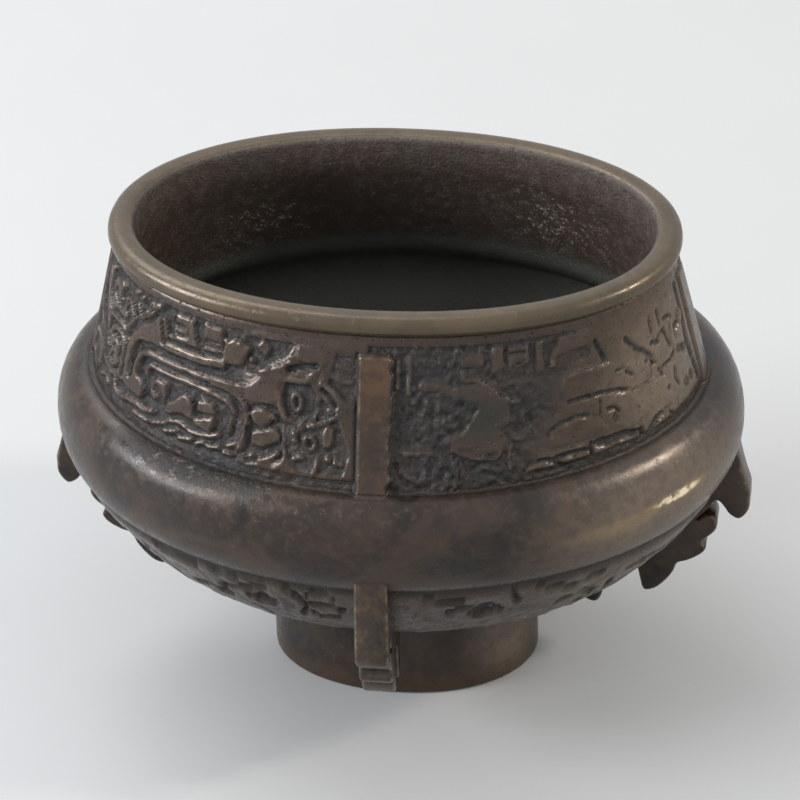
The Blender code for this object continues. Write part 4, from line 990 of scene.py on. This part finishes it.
def cast_body(form):
    """The whole casting as one closed skin, rings from under the foot round to the floor inside."""
    skin = Skin()
    arcs, turns = arc_table(form, 2.5)
    fine_arcs = column_arcs()
    fine = np.interp(fine_arcs, arcs, turns)
    half = fine[::2]
    coarse = fine[::4]
    half_width = FOOT_WIDTH / 2
    half_depth = FOOT_DEPTH / 2
    inner_width = half_width - FOOT_WALL
    inner_depth = half_depth - FOOT_WALL
    skin.add_ring(np.array([[0.0, 0.0, FOOT_HEIGHT]]), {"inner": np.ones(1)})
    steps = [(inner_width * share, inner_depth * share, FOOT_HEIGHT) for share in (0.3, 0.6)]
    for out, up in quarter(-INSIDE_FLOOR / 2, -INSIDE_FLOOR / 2, INSIDE_FLOOR / 2, 90.0, 0.0, 5):
        steps.append((inner_width + out, inner_depth + out, FOOT_HEIGHT + up))
    for share in (0.7, 0.35):
        steps.append((inner_width, inner_depth, FOOT_HEIGHT * share))
    for out, up in quarter(FOOT_EDGE, FOOT_EDGE, FOOT_EDGE, 180.0, 270.0, 4):
        steps.append((inner_width + out, inner_depth + out, up))
    skin.add_rows(flat_rows(steps, FOOT_SQUARENESS, coarse), inner=1.0)
    steps = []
    for out, up in quarter(-FOOT_EDGE, FOOT_EDGE, FOOT_EDGE, 270.0, 360.0, 5):
        steps.append((half_width + out, half_depth + out, up))
    for share in (0.12, 0.25, 0.4, 0.55, 0.7, 0.85, 0.95):
        steps.append((half_width, half_depth, FOOT_HEIGHT * share))
    skin.add_rows(flat_rows(steps, FOOT_SQUARENESS, coarse), foot=1.0)
    plain = np.linspace(0.02, BOWL_BAND_START, 7)[:-1]
    rows = np.array([outside(form, half, np.full(len(half), level)) for level in plain])
    skin.add_rows(rows, foot=0.5)
    bowl_arcs, bowl_turns = arc_table(form, (BOWL_BAND_START + 1.0) / 2)
    rows, height, drawn = carved_rows(form, fine, BOWL_BAND_START, 1.0, BOWL_ROWS, BOWL_GRID,
                                      bowl_height, np.interp(fine, bowl_turns, bowl_arcs))
    hollow, edge = cavity_marks(height)
    skin.add_rows(rows, hollow=hollow, edge=edge, carved=1.0, sunk=1.0 - ease(drawn / 0.45))
    belly = np.linspace(1.0, 2.0, BELLY_ROWS + 2)[1:-1]
    rows = np.array([outside(form, half, np.full(len(half), level)) for level in belly])
    # Painted shade: the top of the belly band, in the crease under the neck, is marked hollow and
    # darkened
    skin.add_rows(rows, hollow=0.7 * ease((belly - 1.86) / 0.12)[:, None])
    rows, height, drawn = carved_rows(form, fine, 2.0, 3.0, NECK_ROWS, NECK_GRID, neck_height,
                                      fine_arcs)
    hollow, edge = cavity_marks(height)
    rib = ease((RIB_FACE / 2 + 0.3 - np.abs(fine_arcs - 2.0 * PANEL - RIB_SHIFT)) / 0.4)
    rib = rib * ease((RIB_TOP - np.linspace(0.0, NECK_GRID, len(rows))[:, None]) / 0.8 + 0.5)
    smooth = ease((fine_arcs - 2.0 * PANEL - 24.0) / 14.0) * (fine_arcs < 3.0 * PANEL)
    skin.add_rows(rows, hollow=hollow, edge=edge, carved=1.0 - rib, rib=rib,
                  smooth=smooth * ease(drawn / 0.5), sunk=1.0 - ease(drawn / 0.45))
    steps = [(-0.0008, -0.00005)] + quarter(-LIP_UNDER_ROUND, LIP_UNDER_ROUND, LIP_UNDER_ROUND,
                                            -90.0, 0.0, 4)
    steps += quarter(-LIP_ROUND, LIP_HEIGHT - LIP_ROUND, LIP_ROUND, 0.0, 90.0, 6)
    steps += [(-form.lip_width / 2, LIP_HEIGHT)]
    half_width = form.mouth_width / 2
    half_depth = form.mouth_depth / 2
    sizes = [(half_width + out, half_depth + out, NECK_TOP + up) for out, up in steps]
    skin.add_rows(flat_rows(sizes, MOUTH_SQUARENESS, half), lip=1.0)
    for number, (width, depth, height, square) in enumerate(inner_rings(form)):
        ring = flat_rows([(width, depth, height)], square, half if number < 5 else coarse)
        lip = 1.0 if number < 2 else 0.0
        skin.add_rows(ring, inner=1.0 - lip, lip=lip,
                      floor=ease((INNER_SMOOTH_TOP - height) / 0.003))
    for share in (0.66, 0.33):
        skin.add_rows(flat_rows([(width * share, depth * share, height)], square, coarse), inner=1.0,
                      floor=1.0)
    skin.add_ring(np.array([[0.0, 0.0, height]]), {"inner": np.ones(1), "floor": np.ones(1)})
    return skin


def paint_nodes(tree, kind, **values):
    """Add a node, set its plain settings and link or fill its inputs by name or number."""
    node = tree.nodes.new(kind)
    for name, value in values.items():
        if name.startswith("in_"):
            key = name[3:]
            socket = node.inputs[int(key) if key.isdigit() else key]
            if isinstance(value, bpy.types.NodeSocket):
                tree.links.new(value, socket)
            else:
                socket.default_value = value
        else:
            setattr(node, name, value)
    return node


def maths(tree, operation, first, second=0.5, third=0.0, clamp=False):
    """One sum, product or other operation on two values."""
    return paint_nodes(tree, "ShaderNodeMath", operation=operation, use_clamp=clamp, in_0=first,
                       in_1=second, in_2=third).outputs[0]


def times(tree, first, second):
    """The product of two values."""
    return maths(tree, "MULTIPLY", first, second)


def larger(tree, first, second):
    """The larger of two values."""
    return maths(tree, "MAXIMUM", first, second)


def less(tree, value, mask, share):
    """A value less a share of a mask."""
    return maths(tree, "SUBTRACT", value, times(tree, mask, share))


def more(tree, value, mask, share):
    """A value and a share of a mask."""
    return maths(tree, "ADD", value, times(tree, mask, share))


def graded(tree, value, low, high, start=0.0, end=1.0):
    """A value's smooth step between a low and a high mark, put between start and end."""
    node = paint_nodes(tree, "ShaderNodeMapRange", interpolation_type="SMOOTHSTEP", in_0=value,
                       in_1=low, in_2=high, in_3=start, in_4=end)
    return node.outputs[0]


def blend(tree, share, first, second):
    """A share of the second colour over the first."""
    node = paint_nodes(tree, "ShaderNodeMix", data_type="RGBA", in_0=share, in_6=first, in_7=second)
    return node.outputs[2]


def noise(tree, place, scale, detail=4.0, roughness=0.55, distortion=0.0):
    """Fractal noise at a place."""
    node = paint_nodes(tree, "ShaderNodeTexNoise", in_Vector=place, in_Scale=scale,
                       in_Detail=detail, in_Roughness=roughness, in_Distortion=distortion)
    return node.outputs[0]


def mark(tree, name):
    """A point attribute of the piece as a value."""
    return paint_nodes(tree, "ShaderNodeAttribute", attribute_type="GEOMETRY",
                       attribute_name=name).outputs["Fac"]


def millimetres(tree):
    """Object coordinates in millimetres."""
    place = paint_nodes(tree, "ShaderNodeTexCoord").outputs["Object"]
    return paint_nodes(tree, "ShaderNodeMapping", in_Vector=place,
                       in_Scale=(1000.0, 1000.0, 1000.0)).outputs[0]


def patch(tree, place, middle, reach):
    """A soft oval patch: 1 at a middle point in millimetres and 0 beyond its reach each way."""
    near = paint_nodes(tree, "ShaderNodeVectorMath", operation="SUBTRACT", in_0=place, in_1=middle)
    share = paint_nodes(tree, "ShaderNodeVectorMath", operation="DIVIDE", in_0=near.outputs[0],
                        in_1=reach)
    length = paint_nodes(tree, "ShaderNodeVectorMath", operation="LENGTH", in_0=share.outputs[0])
    return graded(tree, length.outputs["Value"], 0.25, 1.0, 1.0, 0.0)


def spots(tree, place, patches):
    """The strongest of several soft patches at each place, each times its own strength."""
    whole = 0.0
    for middle, reach, strength in patches:
        whole = larger(tree, whole, times(tree, patch(tree, place, middle, reach), strength))
    return whole


def bronze_material(finish):
    """Patinated bronze: blotched dark brown, matt and darkened in hollows by dirt and painted shade,
    golden where it is worn.

    The patina is mostly a dark skin with a neutral sheen. Bare metal shows on the lip, on a rubbed patch
    of the belly with a painted highlight at its heart and, speckled, on the proud edges of the carving,
    which also carry a painted glint. The right side is painted lighter to stand for light falling there.
    """
    material = bpy.data.materials.new("patinated_bronze")
    material.use_nodes = True
    tree = material.node_tree
    shader = tree.nodes["Principled BSDF"]
    place = millimetres(tree)
    blotch = graded(tree, noise(tree, place, BLOTCH_SCALE, 5.0, 0.62, 0.8), 0.38, 0.64)
    mottle = noise(tree, place, MOTTLE_SCALE, 6.0, 0.68)
    grain = noise(tree, place, GRAIN_SCALE, 5.0, 0.68)
    hollow, edge, sunk, inner, carved, lip, foot, rib, floor, rim, smooth = (
        mark(tree, name) for name in ("hollow", "edge", "sunk", "inner", "carved", "lip", "foot", "rib",
                                      "floor", "rim", "smooth"))
    height = paint_nodes(tree, "ShaderNodeSeparateXYZ", in_0=place).outputs[2]
    brown = tuple(finish.brown)
    warm = tuple(value * factor for value, factor in zip(brown, (1.6, 1.4, 1.2))) + (1.0,)
    # Painted light: the right side is made lighter and warmer where light falls on it
    handled_and_lit = times(tree, spots(tree, place, RIGHT_LIGHT_SPOTS), graded(tree, mottle, 0.35, 0.65, 0.5, 0.72))
    gilt = times(tree, rib, graded(tree, height, 60.0, 73.0, 0.3, 1.0))
    layers = (
        (maths(tree, "MULTIPLY_ADD", blotch, 0.75, 0.1), brown),
        (graded(tree, mottle, 0.45, 0.75, 0.0, 0.55), warm),
        (times(tree, times(tree, carved, maths(tree, "SUBTRACT", 1.0, sunk)), 0.45), finish.ribbon),
        (spots(tree, place, GREEN_SPOTS), finish.verdigris),
        (handled_and_lit, finish.handled_and_lit),
        (times(tree, gilt, graded(tree, mottle, 0.35, 0.6, 0.5, 1.0)), finish.rib),
        (times(tree, foot, graded(tree, height, 1.0, 5.0, 0.45, 0.0)), finish.rib),
        (times(tree, lip, 0.8), finish.lip),
        (times(tree, inner, 0.85), finish.inside_wall),
        (times(tree, inner, graded(tree, mottle, 0.42, 0.62, 0.7, 0.0)), brown),
        (floor, finish.inside_floor),
    )
    colour = tuple(finish.dark)
    for share, tone in layers:
        colour = blend(tree, share, colour, tuple(tone))
    crust = times(tree, inner, graded(tree, grain, 0.54, 0.60))
    crust = times(tree, crust, graded(tree, mottle, 0.48, 0.56))
    crust = times(tree, crust, maths(tree, "MULTIPLY_ADD", spots(tree, place, CRUST_SPOTS), 0.9, 0.1))
    crust = times(tree, crust, maths(tree, "SUBTRACT", 1.0, floor))
    # Dirt and painted shade: sunk ground and hollows darken to near black, partly dirt and partly
    # painted shade; the stains are dirt, and the foot and low bowl take a little painted shade under the
    # belly
    dirt_and_shade = larger(tree, times(tree, sunk, 0.7), hollow)
    dirt_and_shade = times(tree, dirt_and_shade, graded(tree, mottle, 0.2, 0.6, 0.7, 1.0))
    stain = times(tree, spots(tree, place, STAIN_SPOTS), graded(tree, mottle, 0.40, 0.56, 0.1, 0.85))
    dirt_and_shade = larger(tree, larger(tree, dirt_and_shade, stain), times(tree, foot, 0.12))
    # Rubbed patch: bare metal, partly worn and partly a painted highlight streak
    rubbed_and_highlight = times(tree, spots(tree, place, RUBBED_HIGHLIGHT_SPOTS),
                   graded(tree, noise(tree, place, RUB_SCALE, 5.0, 0.6), 0.30, 0.55))
    polish = times(tree, lip, graded(tree, noise(tree, place, POLISH_SCALE, 4.0, 0.6), 0.34, 0.68,
                                     0.35, 1.0))
    # Painted highlight: proud edges of the carving get a silvery glint colour, and are made more
    # metallic and glossy
    proud = times(tree, graded(tree, edge, 0.45, 1.2), graded(tree, mottle, 0.42, 0.62))
    smooth = times(tree, smooth, graded(tree, mottle, 0.3, 0.6, 0.4, 1.0))
    # Flange rims: bare metal colour that is partly wear and partly a painted glint on the edges
    glints = times(tree, rim, graded(tree, mottle, 0.42, 0.62))
    bare = times(tree, smooth, 0.05)
    for mask, share in ((rubbed_and_highlight, 0.95), (polish, 0.12), (glints, 0.4)):
        bare = larger(tree, bare, times(tree, mask, share))
    for share, tone in ((dirt_and_shade, finish.earth_and_shade), (times(tree, proud, 0.42), finish.glint),
                        (bare, finish.worn), (graded(tree, rubbed_and_highlight, 0.45, 1.0), finish.polished_highlight),
                        (times(tree, crust, 0.85), finish.crust)):
        colour = blend(tree, share, colour, tuple(tone))
    tree.links.new(colour, shader.inputs["Base Color"])
    rough = graded(tree, mottle, 0.3, 0.7, 0.22, 0.40)
    rough = more(tree, more(tree, rough, dirt_and_shade, 0.22), inner, 0.20)
    rough = less(tree, less(tree, rough, proud, 0.10), rubbed_and_highlight, 0.12)
    rough = maths(tree, "ADD", rough, times(tree, crust, 0.3), clamp=True)
    tree.links.new(rough, shader.inputs["Roughness"])
    metal = maths(tree, "MULTIPLY_ADD", larger(tree, bare, proud), 0.6, 0.35)
    metal = less(tree, less(tree, metal, inner, 0.3), dirt_and_shade, 0.2)
    metal = maths(tree, "SUBTRACT", metal, times(tree, crust, 0.35), clamp=True)
    tree.links.new(metal, shader.inputs["Metallic"])
    pits = graded(tree, noise(tree, place, PIT_SCALE, 4.0, 0.62), 0.60, 0.70, 0.0, -1.0)
    pitted = larger(tree, times(tree, carved, 0.5),
                    times(tree, inner, maths(tree, "SUBTRACT", 1.0, floor)))
    pitted = maths(tree, "MULTIPLY_ADD", pitted, 0.94, 0.06)
    rugged = maths(tree, "MULTIPLY_ADD", larger(tree, dirt_and_shade, inner), 0.7, 0.07)
    lift = maths(tree, "ADD", times(tree, grain, rugged), times(tree, pits, pitted))
    bump = paint_nodes(tree, "ShaderNodeBump", in_Height=lift, in_Strength=0.8, in_Distance=0.0005)
    tree.links.new(bump.outputs[0], shader.inputs["Normal"])
    return material


def floor_material(finish):
    """Pale matt floor with faint clouds."""
    material = bpy.data.materials.new("pale_floor")
    material.use_nodes = True
    tree = material.node_tree
    shader = tree.nodes["Principled BSDF"]
    place = millimetres(tree)
    colour = tuple(finish.pale_floor)
    shade = graded(tree, noise(tree, place, CLOUD_SCALE, 3.0), 0.3, 0.7)
    pale = blend(tree, shade, colour, tuple(value * 0.985 for value in colour[:3]) + (1.0,))
    tree.links.new(pale, shader.inputs["Base Color"])
    shader.inputs["Roughness"].default_value = 0.55
    return material


def put(name, data, material):
    """A new object at the origin for finished mesh data."""
    data.materials.append(material)
    thing = bpy.data.objects.new(name, data)
    bpy.context.scene.collection.objects.link(thing)
    return thing


def slab(outline, half, bevel):
    """Rings of a slab with rounded rims: its outline, drawn in along its own normals at each rim."""
    along = np.roll(outline, -1, axis=0) - np.roll(outline, 1, axis=0)
    inward = np.stack([-along[:, 1], along[:, 0]], axis=-1)
    inward /= np.linalg.norm(inward, axis=-1, keepdims=True)
    rings = []
    for drawn, side in ((bevel, -half), (bevel * 0.35, -half + bevel * 0.35), (0.0, -half + bevel),
                        (0.0, half - bevel), (bevel * 0.35, half - bevel * 0.35), (bevel, half)):
        flat = outline + inward * drawn
        rings.append(np.concatenate([flat, np.full((len(flat), 1), side)], axis=-1))
    return rings


def root_line(form, end):
    """Where a flange's root runs in the wall: the outside of the bowl moved in by half the wall.

    Each row is a distance from the middle and a height, from the foot up into the belly.
    """
    step = 1e-3
    level = np.array([0.14, 0.25, 0.4, 0.55, 0.7, 0.85, 0.96, 1.1, 1.25, 1.4])
    index = 0 if end else 1
    low, high = ring_at(form, level - step), ring_at(form, level + step)
    here = ring_at(form, level)
    out, rise = high[index] - low[index], high[2] - low[2]
    size = np.hypot(out, rise)
    inset = form.wall / 2
    return np.stack([here[index] - inset * rise / size, here[2] + inset * out / size], axis=-1)


def flange_mesh(form):
    """The four hooked flanges: a smooth curve through their outline, carried across as a slab.

    The curve is closed by a line inside the wall, so that nothing of it shows within the bowl.
    Both faces of the slab are flat.
    """
    points = []
    faces = []
    for outward, sideways, end, shift, skew in FLANGE_SIDES:
        reach, drop, rise = END_FLANGE if end else FRONT_FLANGE
        whole = form.belly_width if end else form.belly_depth
        outer = whole / 2 + FLANGE_STAND_OFF
        line = smooth_line(FLANGE_OUTLINE, 3)
        inward = np.maximum(line[:, 0], FLANGE_TIP_INSET)
        flat = np.stack([-inward * reach, line[:, 1] * rise - drop], axis=-1)
        root = root_line(form, end)
        flat = np.concatenate([flat, np.stack([root[:, 0] - outer, root[:, 1] - BOWL_TOP], axis=-1)])
        area = np.sum(flat[:, 0] * np.roll(flat[:, 1], -1) - np.roll(flat[:, 0], -1) * flat[:, 1])
        if area < 0:
            flat = flat[::-1]
        rings = slab(flat, form.flange_thickness / 2, FLANGE_BEVEL)
        first = sum(len(part) for part in points)
        size = len(flat)
        place = np.arange(size)
        after = (place + 1) % size
        for number, ring in enumerate(rings):
            inward = -ring[:, 0]
            spot = (np.array(outward)[None] * (outer - inward)[:, None]
                    + np.array(sideways)[None] * (ring[:, 2] + shift - inward / reach * skew)[:, None])
            spot[:, 2] += BOWL_TOP + ring[:, 1]
            points.append(spot)
            if number:
                low = first + (number - 1) * size
                quads = np.stack([low + place, low + size + place, low + size + after,
                                  low + after], axis=-1)
                faces.extend(quads.tolist())
        faces.append((first + place).tolist())
        faces.append((first + size * (len(rings) - 1) + place)[::-1].tolist())
    data = bpy.data.meshes.new("flanges")
    data.from_pydata(np.concatenate(points).tolist(), [], faces)
    data.update()
    rim = data.attributes.new("rim", "FLOAT", "POINT")
    shares = np.repeat([RIM_SHARES * len(FLANGE_SIDES)], size, axis=1)
    rim.data.foreach_set("value", shares.astype(np.float32).ravel())
    return data


class CENSER_OT_cast(bpy.types.Operator):
    """Cast the bronze censer"""
    bl_idname = "censer.cast"
    bl_label = "Cast censer"

    def execute(self, context):
        form = context.scene.censer_form
        finish = context.scene.censer_finish
        bronze = bronze_material(finish)
        body = put("bronze_censer", cast_body(form).mesh("bronze_censer"), bronze)
        flanges = put("flanges", flange_mesh(form), bronze)
        flanges.data.set_sharp_from_angle(angle=FLANGE_SHARP_ANGLE)
        with context.temp_override(active_object=body, selected_editable_objects=[body, flanges],
                                   selected_objects=[body, flanges]):
            joined = bpy.ops.object.join()
        if "FINISHED" not in joined:
            raise RuntimeError("The flanges could not be joined to the body")
        body.data.polygons.foreach_set("use_smooth", np.ones(len(body.data.polygons), dtype=bool))
        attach(body, "root")
        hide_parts("censer")
        return {"FINISHED"}


def area_light(name, place, target, width, height, power, colour):
    """A soft box aimed at a point."""
    light = bpy.data.lights.new(name, "AREA")
    light.shape = "RECTANGLE"
    light.size = width
    light.size_y = height
    light.energy = power
    light.color = colour
    thing = bpy.data.objects.new(name, light)
    bpy.context.scene.collection.objects.link(thing)
    aim = Vector(target) - Vector(place)
    turn = aim.to_track_quat("-Z", "Y").to_matrix().to_4x4()
    thing.matrix_world = Matrix.Translation(Vector(place)) @ turn


class CENSER_OT_studio(bpy.types.Operator):
    """Lay the floor, hang the soft lights and place the camera"""
    bl_idname = "censer.studio"
    bl_label = "Set up studio"

    def execute(self, context):
        scene = context.scene
        data = bpy.data.meshes.new("floor")
        corners = [(x * FLOOR_HALF, y * FLOOR_HALF, 0) for x, y in ((-1, -1), (1, -1), (1, 1), (-1, 1))]
        data.from_pydata(corners, [], [(0, 1, 2, 3)])
        floor = put("floor", data, floor_material(scene.censer_finish))
        world = bpy.data.worlds.new("studio")
        world.use_nodes = True
        backdrop = world.node_tree.nodes["Background"]
        backdrop.inputs[0].default_value = WORLD_COLOUR
        backdrop.inputs[1].default_value = WORLD_STRENGTH
        scene.world = world
        for light in LIGHTS:
            area_light(*light)
        scene.camera = camera()
        scene.view_settings.view_transform = "Standard"
        return {"FINISHED"}


def camera():
    """The camera at the photograph's viewing angle, with a long lens."""
    back = Vector((math.sin(VIEW_SIDE) * math.cos(VIEW_UP), -math.cos(VIEW_SIDE) * math.cos(VIEW_UP),
                   math.sin(VIEW_UP)))
    right = Vector((math.cos(VIEW_SIDE), math.sin(VIEW_SIDE), 0.0))
    up = back.cross(right)
    rolled_right = right * math.cos(VIEW_ROLL) + up * math.sin(VIEW_ROLL)
    rolled_up = up * math.cos(VIEW_ROLL) - right * math.sin(VIEW_ROLL)
    target = Vector((0.0, 0.0, VIEW_TARGET_HEIGHT)) + right * VIEW_TARGET_RIGHT
    data = bpy.data.cameras.new("camera")
    data.sensor_width = 36.0
    data.lens = VIEW_FOCAL / VIEW_FRAME * data.sensor_width
    data.dof.use_dof = False
    thing = bpy.data.objects.new("camera", data)
    bpy.context.scene.collection.objects.link(thing)
    place = Matrix((rolled_right, rolled_up, back)).transposed().to_4x4()
    thing.matrix_world = Matrix.Translation(target + back * VIEW_DISTANCE) @ place
    return thing


class CENSER_PT_panel(bpy.types.Panel):
    """The censer's sizes, colours and steps"""
    bl_idname = "CENSER_PT_panel"
    bl_label = "Bronze censer"
    bl_space_type = "VIEW_3D"
    bl_region_type = "UI"
    bl_category = "Censer"

    def draw(self, context):
        for group in (context.scene.censer_form, context.scene.censer_finish):
            box = self.layout.box()
            for name in group.bl_rna.properties.keys():
                if name not in ("rna_type", "name"):
                    box.prop(group, name)
        self.layout.operator("censer.cast")
        self.layout.operator("censer.studio")


CLASSES = (CenserForm, CenserFinish, CENSER_OT_cast, CENSER_OT_studio, CENSER_PT_panel)


def register():
    """Register the classes and hang the settings on the scene."""
    for kind in CLASSES:
        bpy.utils.register_class(kind)
    bpy.types.Scene.censer_form = bpy.props.PointerProperty(type=CenserForm)
    bpy.types.Scene.censer_finish = bpy.props.PointerProperty(type=CenserFinish)


def unregister():
    """Take the settings and the classes away again."""
    del bpy.types.Scene.censer_finish
    del bpy.types.Scene.censer_form
    for kind in reversed(CLASSES):
        bpy.utils.unregister_class(kind)


def main():
    """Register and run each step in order."""
    register()
    bpy.ops.censer.cast()
    bpy.ops.censer.studio()


if __name__ == "__main__":
    main()
